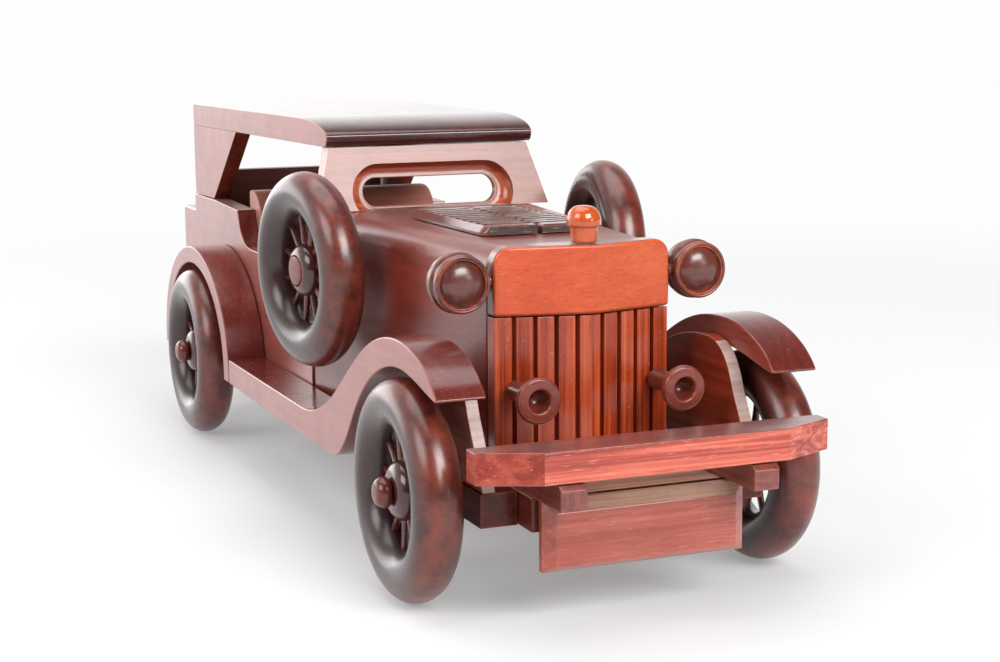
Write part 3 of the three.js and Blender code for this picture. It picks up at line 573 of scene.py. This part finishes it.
def add_lamps():
    lamp_x, lamp_y, lamp_z = LAMP_PLACE
    for side, suffix in SIDES:
        profile = catmull([(0, -1.3), (2.2, -1.1), (4.2, -0.5), (5.6, 0.4)], 5)
        profile += [(5.95, 0.85), (6.2, 1.0)]
        profile += catmull([
            (6.35, 0.45), (6.55, 0.1), (6.8, 0.1), (7.0, -0.2), (7.35, -0.35), (7.75, 0.0), (7.9, 0.6),
            (7.9, 1.3), (7.6, 1.85), (7.35, 2.3)], 4)
        profile += catmull([
            (7.35, 2.7), (7.75, 3.1), (8.2, 3.45), (8.3, 4.1), (8.3, 4.9), (8.05, 5.6), (7.9, 6.0),
            (7.75, 7.2), (6.9, 8.9), (5.4, 10.3), (3.2, 11.3), (0, 11.6)], 4)
        lamp = turned_mesh("headlamp", profile, 64, closed=False)
        reach = lamp_x - HALF_GRILLE
        stem = turned_mesh("stem", [
            (0, 3), (1.9, 3), (1.8, reach - 2), (1.9, reach - 0.6), (1.9, reach - 0.3), (0, reach - 0.3),
        ], 24, closed=False)
        aside = Matrix.Rotation(side * math.pi / 2, 4, "Z")
        stem.transform(Matrix.Translation((LAMP_STEM_BACK * MM, 0, 0)) @ aside)
        seat_piece(f"lamp_{suffix}", join_meshes(lamp, [stem]), LAMP, "car",
                   f"headlamp_{suffix}", place(lamp_x * side, lamp_y, lamp_z), FACING_FRONT)


def add_horns():
    x, y, z = HORN_PLACE
    for side, suffix in SIDES:
        profile = catmull([(0, 5.2), (1.5, 4.7), (2.5, 3.2), (2.95, 1.2)], 4)
        profile += catmull([
            (3.1, 0.35), (3.45, 0.02), (4.2, 0.0), (5.3, 0.02), (5.9, 0.25), (6.2, 0.9), (6.2, 1.8),
            (5.8, 2.7), (4.7, 3.5), (3.4, 4.4), (2.75, 6.0), (2.7, 9.0)], 4)
        profile += [(2.8, 14.2), (2.85, 16.6), (0, 16.6)]
        seat_piece(f"horn_piece_{suffix}", turned_mesh("horn", profile, 56, closed=False), RED_TURNED,
                   "car", f"horn_{suffix}", place(x * side, y, z), FACING_FRONT)


def add_cap():
    profile = [(0, 0), (3.45, 0), (3.6, 0.25)] + catmull([(3.62, 0.5), (3.7, 2.2), (3.9, 4.1)], 3)
    profile += catmull([
        (4.3, 4.2), (4.65, 4.45), (4.75, 5.1), (4.7, 6.3), (4.3, 7.6), (3.5, 8.8), (2.2, 9.6), (0, 9.9)], 5)
    low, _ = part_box("radiator_cap")
    centre = middle("radiator_cap")
    seat_piece("cap", turned_mesh("cap", profile, 56, closed=False), AMBER, "car", "radiator_cap",
               (centre.x, centre.y, low.z), UPRIGHT)


# ---------------------------------------------------------------- radiator, hood and louvres

HALF_GRILLE = 26.2
EDGE_Y = 1.84
RIDGE_Y = -4.3
SHELL_CORNER = 5.0
SHELL_BACK_Y = 7.2
HOOD_FRONT_Y = 7.5
HOOD_REAR_Y = 124.0
HOOD_CORNER = 6.5
SEAM = 0.3


def prow(x):
    """How far back the pointed front stands at x."""
    return RIDGE_Y + (EDGE_Y - RIDGE_Y) * abs(x) / HALF_GRILLE


def add_shell():
    """The pointed crown of the radiator, lofted so its front keeps a crisp centre ridge."""
    low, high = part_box("radiator_shell")
    bottom, top = low.z / MM, high.z / MM
    corner = SHELL_CORNER
    outline = [(-HALF_GRILLE, bottom)]
    outline += ellipse(-HALF_GRILLE + corner, top - corner, corner, corner, 180, 90, 12)
    outline += [(0, top)]
    outline += ellipse(HALF_GRILLE - corner, top - corner, corner, corner, 90, 0, 12)
    outline += [(HALF_GRILLE, bottom), (0, bottom)]
    mesh = bpy.data.meshes.new("shell")
    build = bmesh.new()
    front = [build.verts.new(place(x, prow(x), z)) for x, z in outline]
    back = [build.verts.new(place(x, SHELL_BACK_Y, z)) for x, z in outline]
    count = len(outline)
    half = outline.index((0, top))
    build.faces.new(front[:half + 1] + [front[-1]])
    build.faces.new(front[half:])
    build.faces.new(back[::-1])
    for i in range(count):
        build.faces.new((front[i], front[(i + 1) % count], back[(i + 1) % count], back[i]))
    bmesh.ops.recalc_face_normals(build, faces=build.faces)
    build.to_mesh(mesh)
    build.free()
    piece = add_piece("shell", mesh, SHELL, node="radiator_shell")
    # The left half of the front takes the copy with painted light.
    stain_or_light_faces(mesh, SHELL_LEFT_PAINTED_LIGHT, lambda normal: normal.y < -0.8 and normal.x > 0)
    # The shell's top, sides and back get the darker stain as painted shade.
    stain_or_light_faces(mesh, EDGE_PAINTED_SHADE, lambda normal: normal.y > -0.8)
    smooth(piece, math.radians(15))
    soften(piece, 1.1, limit=math.radians(35))


def stain_or_light_faces(mesh, material, test):
    """Gives the faces that pass the test a second material: a real stain for some callers, painted light or
    shade for others.
    """
    mesh.materials.append(material)
    for polygon in mesh.polygons:
        if test(polygon.normal):
            polygon.material_index = len(mesh.materials) - 1


def carry(node, material, width=0.5):
    """Keeps a CAD node's own shape, welds its facets and rounds its arrises."""
    piece = NODES[node]
    piece.data.materials.clear()
    piece.data.materials.append(material)
    weld = piece.modifiers.new("weld", "WELD")
    weld.merge_threshold = 0.00001
    if width:
        soften(piece, width, 3, math.radians(25))
    return piece


def add_hood():
    low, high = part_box("hood_block")
    bottom, top = low.z / MM, high.z / MM
    corner = HOOD_CORNER
    mesh = bpy.data.meshes.new("hood")
    build = bmesh.new()
    rows = []
    for y, half in ((HOOD_FRONT_Y, HALF_GRILLE - SEAM), (HOOD_REAR_Y, high.x / MM)):
        outline = [(-half, bottom)]
        outline += ellipse(-half + corner, top - corner, corner, corner, 180, 90, 16)
        outline += ellipse(half - corner, top - corner, corner, corner, 90, 0, 16)
        outline += [(half, bottom)]
        rows.append([build.verts.new(place(x, y, z)) for x, z in outline])
    first, last = rows
    count = len(first)
    build.faces.new(first)
    build.faces.new(last[::-1])
    for i in range(count):
        build.faces.new((first[i], last[i], last[(i + 1) % count], first[(i + 1) % count]))
    bmesh.ops.recalc_face_normals(build, faces=build.faces)
    build.to_mesh(mesh)
    build.free()
    piece = add_piece("hood", mesh, HOOD, node="hood_block")
    smooth(piece, math.radians(30))
    soften(piece, 0.8, 3, math.radians(40))


RIBS = 11
GROOVE_DEPTH = 1.5
LOUVRE_TOP = 2.6
LOUVRE_FRONT_Y = 31.0
LOUVRE_REAR_Y = 88.0
LOUVRE_INNER_X = 0.8
LOUVRE_OUTER_X = 17.5
LOUVRE_SPLAY = 0.9
LOUVRE_CORNER = 3


def louvre_height(x, y, inner, outer, front, rear):
    """Height of a louvre panel above its base: flat ribs between grooves that hook forward outboard."""
    top = LOUVRE_TOP
    pitch = (rear - front) / RIBS
    bend = 2.2 * max(0.0, (x - (outer - 5)) / 5) ** 2
    along = (y + bend - front) / pitch
    nearest = min(max(round(along), 1), RIBS - 1)
    away = abs(along - nearest) * pitch
    notch = GROOVE_DEPTH * min(1.0, max(0.0, (1.5 - away) / 0.45))
    border = min(1.0, max(0.0, (outer - 2.0 - x) / 0.7))
    height = top - notch * border - 0.12 * (away / pitch) ** 2
    height = min(height, 0.7 + 1.25 * (outer - x))
    for distance, radius in ((x - inner, 0.6), (y - front, 0.4), (rear - y, 0.9)):
        if distance < radius:
            height = min(height, top - radius + math.sqrt(max(0.0, radius ** 2 - (radius - distance) ** 2)))
    return height


def add_louvres():
    front, rear, inner = LOUVRE_FRONT_Y, LOUVRE_REAR_Y, LOUVRE_INNER_X
    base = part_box("louvre_panel_left")[0].z / MM
    columns = 34
    rows = RIBS * 20
    for side, suffix in SIDES:
        mesh = bpy.data.meshes.new("louvres")
        build = bmesh.new()
        top_rows, bottom_rows = [], []
        for j in range(rows + 1):
            y = front + (rear - front) * j / rows
            outer = LOUVRE_OUTER_X + LOUVRE_SPLAY * j / rows
            if y < front + LOUVRE_CORNER:
                outer -= LOUVRE_CORNER - math.sqrt(LOUVRE_CORNER ** 2 - (front + LOUVRE_CORNER - y) ** 2)
            top_row, bottom_row = [], []
            for i in range(columns + 1):
                share = i / columns
                share = share - 0.12 * math.sin(2 * math.pi * share) / (2 * math.pi) * 4
                x = inner + (outer - inner) * share
                height = louvre_height(x, y, inner, outer, front, rear)
                top_row.append(build.verts.new(place(side * x, y, base + max(height, 0.25))))
                if i in (0, columns) or j in (0, rows):
                    bottom_row.append(build.verts.new(place(side * x, y, base)))
            top_rows.append(top_row)
            bottom_rows.append(bottom_row)
        for a, b in zip(top_rows, top_rows[1:]):
            for i in range(columns):
                build.faces.new((a[i], a[i + 1], b[i + 1], b[i]))
        rim_top = top_rows[0] + [row[-1] for row in top_rows[1:]] + top_rows[-1][-2::-1]
        rim_top += [row[0] for row in top_rows[-2:0:-1]]
        rim_bottom = bottom_rows[0] + [row[-1] for row in bottom_rows[1:]] + bottom_rows[-1][-2::-1]
        rim_bottom += [row[0] for row in bottom_rows[-2:0:-1]]
        count = len(rim_top)
        for i in range(count):
            j = (i + 1) % count
            build.faces.new((rim_top[i], rim_top[j], rim_bottom[j], rim_bottom[i]))
        build.faces.new(rim_bottom)
        bmesh.ops.recalc_face_normals(build, faces=build.faces)
        build.to_mesh(mesh)
        build.free()
        piece = add_piece(f"louvres_{suffix}", mesh, LOUVRE, node=f"louvre_panel_{suffix}")
        stain_or_light_faces(mesh, DUSTY, lambda normal: normal.y < -0.9)
        # Faces low in the grooves get the near-black colour as painted shade.
        mesh.materials.append(GROOVE_SHADE)
        painted_shade_z = (base + LOUVRE_TOP - 0.45) * MM
        ahead, behind = place(0, front + 2, 0).y, place(0, rear - 2, 0).y
        for polygon in mesh.polygons:
            x, y, z = polygon.center
            in_field = ahead < y < behind and 0.001 < abs(x) < 0.0158
            if z < painted_shade_z and in_field and len(polygon.vertices) == 4:
                polygon.material_index = 2
        smooth(piece, math.radians(30))


# ---------------------------------------------------------------- windscreen


def stadium(straight, radius, steps=24):
    points = ellipse(straight, 0, radius, radius, -90, 90, steps)
    points += ellipse(-straight, 0, radius, radius, 90, 270, steps)
    return points


def loft(name, loops):
    """A closed body through loops of 3D points, capped at both ends."""
    mesh = bpy.data.meshes.new(name)
    build = bmesh.new()
    rows = [[build.verts.new(point) for point in loop] for loop in loops]
    build.faces.new(rows[0])
    build.faces.new(rows[-1][::-1])
    count = len(rows[0])
    for a, b in zip(rows, rows[1:]):
        for i in range(count):
            build.faces.new((a[i], a[(i + 1) % count], b[(i + 1) % count], b[i]))
    bmesh.ops.recalc_face_normals(build, faces=build.faces)
    build.to_mesh(mesh)
    build.free()
    return mesh


def stain_cove(mesh, front, rake, bottom):
    """The hollow round the slot keeps an orange stain; the lip at its back stays pale."""
    mesh.materials.append(COVE)
    for polygon in mesh.polygons:
        x, y, z = polygon.center
        depth = (y - FRONT_AXLE_Y) / MM - front - rake * (z / MM - bottom)
        if 0.05 < depth < 4.2 and abs(x) < 30 * MM:
            polygon.material_index = 1


def add_windscreen():
    """A raked board with a stadium slot, a cove round it and a thin bead at the lip."""
    low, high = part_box("windscreen_board")
    bottom, top = low.z / MM, high.z / MM
    rake = 0.29
    front = 115.8
    thick = 6.5

    def raked(x, depth, z):
        return place(x, front + depth + rake * (z - bottom), z)

    board = loft("windscreen", [
        [raked(x, depth, z) for x, z in (
            (-39.8, bottom), (39.8, bottom), (34.3, top), (-34.3, top))]
        for depth in (0, thick)
    ])
    piece = add_piece("windscreen", board, PINK, node="windscreen_board")
    centre = 97.7
    straight = 18.4
    cutter_profile = [(9.6, -2.0), (9.5, -0.2)]
    cutter_profile += [(5.4 + 4.0 * math.cos(a), 4.4 * math.sin(a))
                       for a in (math.pi / 2 * k / 8 for k in range(9))]
    cutter_profile += [
        (5.0, 4.25), (4.75, 4.3), (4.55, 4.5), (4.5, 5.0), (4.5, 6.0), (4.55, 6.6), (4.6, 8.0)]
    loops = [
        [raked(x, depth, centre + z) for x, z in stadium(straight, radius)]
        for radius, depth in cutter_profile
    ]
    cutter = bpy.data.objects.new("cutter", loft("cutter", loops))
    bpy.context.scene.collection.objects.link(cutter)
    carve = piece.modifiers.new("carve", "BOOLEAN")
    carve.operation = "DIFFERENCE"
    carve.solver = "EXACT"
    carve.object = cutter
    graph = bpy.context.evaluated_depsgraph_get()
    carved = bpy.data.meshes.new_from_object(piece.evaluated_get(graph))
    piece.modifiers.clear()
    piece.data = carved
    bpy.data.objects.remove(cutter)
    stain_cove(carved, front, rake, bottom)
    smooth(piece, math.radians(32))
    soften(piece, 0.35, 2, math.radians(50))


# ---------------------------------------------------------------- roof and body

ROOF_FRONT_Y = 119.5
ROOF_REAR_Y = 281.3
ROOF_FRONT_HALF = 35.5
ROOF_REAR_HALF = 40.6
NOSE_LENGTH = 30.0
NOSE_Z = 116.0
PILLAR_THICK = 5.9
SIDE_INNER_X = 34.1
SIDE_OUTER_X = 40.7
SIDE_FRONT_Y = 124.3
SIDE_STEP_Y = 196.0
SIDE_REAR_Y = 282.6
SIDE_DIP_Z = 72
CABIN_HALF = 33.8
SEAT_BACK_TOP = 91.2
CUSHION_TOP = 58


def add_roof():
    low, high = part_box("roof_board")
    bottom, top = low.z / MM, high.z / MM
    y0, y1 = ROOF_FRONT_Y, ROOF_REAR_Y
    outline = [(y1, bottom), (y1, top)]
    outline += ellipse(y0 + NOSE_LENGTH, NOSE_Z, NOSE_LENGTH, top - NOSE_Z, 90, 180, 48)
    outline += cubic((y0, NOSE_Z), (y0, NOSE_Z - 1.8), (y0 + 1.2, bottom), (y0 + 3.2, bottom), 10)
    slope = (high.x / MM - ROOF_FRONT_HALF) / (y1 - y0)
    loops = [
        [place(side * (ROOF_FRONT_HALF + slope * (y - y0)), y, z) for y, z in outline]
        for side in (-1, 1)
    ]
    piece = add_piece("roof", loft("roof", loops), ROOF, node="roof_board")
    stain_or_light_faces(piece.data, BODY, lambda normal: abs(normal.x) > 0.9)
    smooth(piece, math.radians(30))
    soften(piece, 0.2, 2, math.radians(40))


def add_pillar(side, suffix):
    """The quarter board, flush with the roof's side; it is sawn to meet the roof's underside."""
    low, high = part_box(f"roof_pillar_{suffix}")
    bottom, top = low.z / MM, high.z / MM + 0.25
    rear = ROOF_REAR_Y
    taper = (ROOF_REAR_HALF - ROOF_FRONT_HALF) / (rear - ROOF_FRONT_Y)
    outline = [(254.7, bottom), (280.9, bottom), (rear, bottom + 6), (rear, top), (222.4, top)]
    loops = [
        [place(side * (ROOF_REAR_HALF - inset - taper * (rear - y)), y, z) for y, z in outline]
        for inset in (0.02, PILLAR_THICK)
    ]
    piece = add_piece(f"pillar_{suffix}", loft("pillar", loops), BODY,
                      node=f"roof_pillar_{suffix}")
    stain_or_light_faces(piece.data, PILLAR_EDGE, lambda normal: normal.x * side < 0.9)
    smooth(piece, math.radians(30))
    soften(piece, 0.08, 2, math.radians(40))


def add_body():
    for side, suffix in SIDES:
        front, step, rear, dip = SIDE_FRONT_Y, SIDE_STEP_Y, SIDE_REAR_Y, SIDE_DIP_Z
        outline = [(front, 27), (step, 27), (step, 33.5), (rear, 33.5)]
        outline += [(rear, 85.5), (250, 85.5), (216, 84.6)]
        outline += cubic((216, 84.6), (213.5, 76.5), (208.5, dip), (198, dip), 20)
        outline += [(138, dip)]
        outline += cubic((138, dip), (131, dip), (127, 76), (front, 84.5), 16)
        board = board_x(f"side_{suffix}", outline, SIDE_INNER_X * side, SIDE_OUTER_X * side, BODY,
                        0.5, node=f"body_side_{suffix}")
        stain_or_light_faces(board.data, EDGES_STAINED_AND_SHADED, lambda normal: abs(normal.x) < 0.5 and normal.z < 0.99)

    seat_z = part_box("seat_back")[0].z / MM
    top = SEAT_BACK_TOP
    outline = [(224, seat_z), (224, top - 0.8), (223.2, top), (220.5, top)]
    outline += cubic((220.5, top), (212, top), (208, 85), (207, 76), 20) + [(207, seat_z)]
    board_x("backrest", outline, -CABIN_HALF, CABIN_HALF, CABIN_PAINTED_LIGHT, 0.5, node="seat_back")
    top = CUSHION_TOP
    outline = [(172, seat_z), (206.7, seat_z), (206.7, top), (179, top)]
    outline += cubic((179, top), (175, top), (172, 56), (172, 51.5), 12)
    board_x("cushion", outline, -CABIN_HALF, CABIN_HALF, CABIN_PAINTED_LIGHT, 0.6, node="seat_cushion")
    carry("floor_board", CABIN_PAINTED_LIGHT, 0.3)
    carry("rear_panel", CABIN_PAINTED_LIGHT, 0.4)
    carry("trunk_box", BODY, 0.7)
    for side, suffix in SIDES:
        add_pillar(side, suffix)


# ---------------------------------------------------------------- fenders

FENDER_INNER_X = 41.0
FENDER_OUTER_X = 54.5
TIP = (-29.4, 59.1)
CROWN = 70.4
UNDERSIDE = 62.9
DECK_TOP = 35.6
DECK_BOTTOM = 27.1
DECK_REAR_Y = 180.7
ARCH_CENTRE = (231.5, 30)
ARCH_OUTER = (50.5, 40.2)
ARCH_INNER = (43, 34)
CHEEK_INNER_X = 37.1
CHEEK_OUTER_X = 40.7
CHEEK_CROWN = 65.2


def add_fenders():
    for side, suffix in SIDES:
        inner, outer = FENDER_INNER_X * side, FENDER_OUTER_X * side
        outline = [TIP]
        outline += cubic(TIP, (-24, 66), (-13, CROWN), (0, CROWN), 24)
        outline += cubic((0, CROWN), (39, CROWN), (52, DECK_TOP), (92, DECK_TOP), 48)
        outline += [(DECK_REAR_Y, DECK_TOP), (DECK_REAR_Y, DECK_BOTTOM), (60, DECK_BOTTOM)]
        outline += cubic((60, DECK_BOTTOM), (52, DECK_BOTTOM), (46, 33.6), (39.2, 41.8), 20)
        outline += cubic((39.2, 41.8), (27.8, 55.5), (13.2, UNDERSIDE), (-2, UNDERSIDE), 28)
        outline += cubic((-2, UNDERSIDE), (-11, UNDERSIDE), (-20, 59.8), (-28.6, 58.6), 18)
        fender = board_x(f"fender_{suffix}", outline, inner, outer, EDGES_STAINED_AND_SHADED, 0.6,
                         node=f"front_fender_{suffix}")
        # The side faces take the paler body stain as painted reflection of the bright surroundings; the top
        # and edges keep the darker stain, partly painted shade.
        stain_or_light_faces(fender.data, BODY, lambda normal: abs(normal.x) > 0.5)

        middle_y = ARCH_CENTRE[0]
        outline = ellipse(*ARCH_CENTRE, *ARCH_OUTER, 0, 180, 72)
        outline += [(middle_y - ARCH_OUTER[0], DECK_BOTTOM), (middle_y - ARCH_INNER[0], DECK_BOTTOM)]
        outline += ellipse(*ARCH_CENTRE, *ARCH_INNER, 180, 0, 72)
        outline += [(middle_y + ARCH_INNER[0], DECK_BOTTOM), (middle_y + ARCH_OUTER[0], DECK_BOTTOM)]
        arch = board_x(f"arch_{suffix}", outline, inner, outer, ARCH_PAINTED_SHADE, 0.6,
                       node=f"rear_fender_{suffix}")
        # The side faces take the paler body stain as painted reflection of the bright surroundings; the top
        # and edges keep the darker stain with its painted shade.
        stain_or_light_faces(arch.data, BODY, lambda normal: abs(normal.x) > 0.5)

        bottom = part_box(f"cheek_plate_{suffix}")[0].z / MM
        outline = [(50, bottom), (-25.4, bottom), (-14.9, 52)]
        outline += cubic((-14.9, 52), (-11.9, 60), (-7.9, CHEEK_CROWN), (1.1, CHEEK_CROWN), 16)
        outline += cubic((1.1, CHEEK_CROWN), (22, CHEEK_CROWN), (32, 57), (50, 44), 24)
        cheek = board_x(f"cheek_{suffix}", outline, CHEEK_INNER_X * side, CHEEK_OUTER_X * side, CHEEK,
                        0.3, node=f"cheek_plate_{suffix}")
        stain_or_light_faces(cheek.data, BARE_EDGE, lambda normal: abs(normal.x) < 0.5 and normal.y < -0.3)


# ---------------------------------------------------------------- chassis and front


def add_chassis():
    carry("chassis_board", UNDER, 0.5)
    stain_or_light_faces(NODES["chassis_board"].data, BARE, lambda normal: normal.z > 0.9)
    for _, suffix in SIDES:
        for end in ("front", "rear"):
            carry(f"{end}_axle_block_{suffix}", UNDER, 0.3)
        carry(f"bumper_bracket_{suffix}", BRACKET, 0.5)
    carry("bumper", BUMPER, 0.35)
    carry("front_plate", PLATE_PAINTED_SHADE, 0.25)
    stain_or_light_faces(NODES["front_plate"].data, BARE, lambda normal: normal.z > 0.3)
    # The bumper's top and bottom get the darker stain as painted shade.
    stain_or_light_faces(NODES["bumper"].data, EDGE_PAINTED_SHADE, lambda normal: abs(normal.z) > 0.9)
    # Only the -X end gets the darker copy, as painted shade.
    stain_or_light_faces(NODES["bumper"].data, BUMPER_END_PAINTED_SHADE, lambda normal: normal.x < -0.3)
    carry("radiator_grille", SLATS, 0.22)


# ---------------------------------------------------------------- floor, light and camera


def add_stage():
    mesh = bpy.data.meshes.new("floor")
    build = bmesh.new()
    bmesh.ops.create_circle(build, cap_ends=True, radius=12, segments=96)
    build.to_mesh(mesh)
    build.free()
    floor = bpy.data.objects.new("floor", mesh)
    bpy.context.scene.collection.objects.link(floor)
    material = bpy.data.materials.new("floor_paper")
    tree = Tree(material)
    coords = tree.add("ShaderNodeTexCoord").outputs["Object"]
    reach = tree.add("ShaderNodeVectorMath", {0: coords}, operation="LENGTH").outputs["Value"]
    far = tree.add("ShaderNodeMapRange", {0: reach, 1: 0.22, 2: 0.9, 3: 0.28, 4: 1.0},
                   interpolation_type="SMOOTHSTEP").outputs[0]
    beyond = tree.fit(reach, 0.35, 0.9)
    camera_ray = tree.add("ShaderNodeLightPath").outputs["Is Camera Ray"]
    unseen = tree.math("SUBTRACT", 1.0, camera_ray)
    strength = tree.math("ADD", 1.0, tree.math("MULTIPLY", tree.math("MULTIPLY", beyond, unseen), 0.35))
    grain = tree.noise(coords, 900.0, 2.0, 0.5)
    paper = tree.ramp(grain, [(0.3, (0.68, 0.68, 0.685)), (0.7, (0.71, 0.71, 0.712))])
    diffuse = tree.add("ShaderNodeBsdfPrincipled", {"Base Color": paper, "Roughness": 0.6})
    glow = tree.add("ShaderNodeEmission", {"Color": (0.985, 0.985, 0.99, 1), "Strength": strength})
    blend = tree.add("ShaderNodeMixShader", {0: far, 1: diffuse.outputs[0], 2: glow.outputs[0]})
    tree.add("ShaderNodeOutputMaterial", {"Surface": blend.outputs[0]})
    mesh.materials.append(material)


def add_world():
    world = bpy.data.worlds.new("studio")
    bpy.context.scene.world = world
    tree = Tree(world)
    direction = tree.add("ShaderNodeTexCoord").outputs["Generated"]
    parts = tree.add("ShaderNodeSeparateXYZ", {0: direction})
    behind = tree.math("ADD", tree.math("MULTIPLY", parts.outputs[1], 0.9),
                       tree.math("MULTIPLY", parts.outputs[0], -0.45))
    bright = tree.fit(behind, -0.2, 0.75, 0.10, 1.4)
    low_band = tree.fit(tree.math("ABSOLUTE", parts.outputs[2]), 0.2, 0.8, 1.0, 0.35)
    room = tree.add("ShaderNodeBackground", {
        "Color": (1.0, 0.985, 0.98, 1), "Strength": tree.math("MULTIPLY", bright, low_band),
    })
    seen = tree.add("ShaderNodeBackground", {"Color": (0.985, 0.985, 0.99, 1), "Strength": 1.0})
    camera_ray = tree.add("ShaderNodeLightPath").outputs["Is Camera Ray"]
    blend = tree.add("ShaderNodeMixShader", {0: camera_ray, 1: room.outputs[0], 2: seen.outputs[0]})
    tree.add("ShaderNodeOutputWorld", {"Surface": blend.outputs[0]})


def area(name, position, aim, size, power, size_y=None):
    light = bpy.data.lights.new(name, "AREA")
    light.energy = power
    light.size = size
    if size_y:
        light.shape = "RECTANGLE"
        light.size_y = size_y
    holder = bpy.data.objects.new(name, light)
    bpy.context.scene.collection.objects.link(holder)
    holder.location = position
    holder.rotation_euler = (Vector(aim) - Vector(position)).to_track_quat("-Z", "Y").to_euler()


def add_lights():
    area("overhead", (-0.1, 0.2, 1.4), (0, 0, 0), 1.3, 13.5)
    area("back_glow", (-0.9, 2.0, 0.55), (0, 0, 0.08), 2.4, 17, 0.9)
    area("key", (0.27, -1.28, 0.92), (0, -0.05, 0.06), 0.9, 25, 0.7)
    area("left_bank", (-1.3, -0.5, 1.0), (0, 0, 0.05), 0.9, 11, 0.7)
    area("spark", (0.75, -1.3, 0.35), (0, -0.05, 0.06), 0.3, 1.4, 0.3)


CAMERA_PLACE = (-211.03, -454.37, 150.73)
CAMERA_YAW = 0.387
CAMERA_PITCH = 0.167
CAMERA_ROLL = -0.008


def add_camera():
    data = bpy.data.cameras.new("view")
    data.sensor_width = 36
    data.lens = 67.36
    data.shift_x = 0.0021
    data.shift_y = 0.0099
    data.clip_start = 0.01
    yaw, pitch, roll = CAMERA_YAW, CAMERA_PITCH, CAMERA_ROLL
    look = Vector((math.sin(yaw) * math.cos(pitch), math.cos(yaw) * math.cos(pitch), -math.sin(pitch)))
    right = Vector((math.cos(yaw), -math.sin(yaw), 0))
    up = right.cross(look)
    tilted_right = math.cos(roll) * right + math.sin(roll) * up
    tilted_up = -math.sin(roll) * right + math.cos(roll) * up
    turn = Matrix((tilted_right, tilted_up, -look)).transposed().to_4x4()
    camera = bpy.data.objects.new("view", data)
    bpy.context.scene.collection.objects.link(camera)
    camera.matrix_world = Matrix.Translation(place(*CAMERA_PLACE)) @ turn
    bpy.context.scene.camera = camera


bpy.context.scene.view_settings.view_transform = "Standard"

add_wheels()
add_lamps()
add_horns()
add_cap()
add_shell()
add_hood()
add_louvres()
add_windscreen()
add_roof()
add_body()
add_fenders()
add_chassis()
add_stage()
add_world()
add_lights()
add_camera()
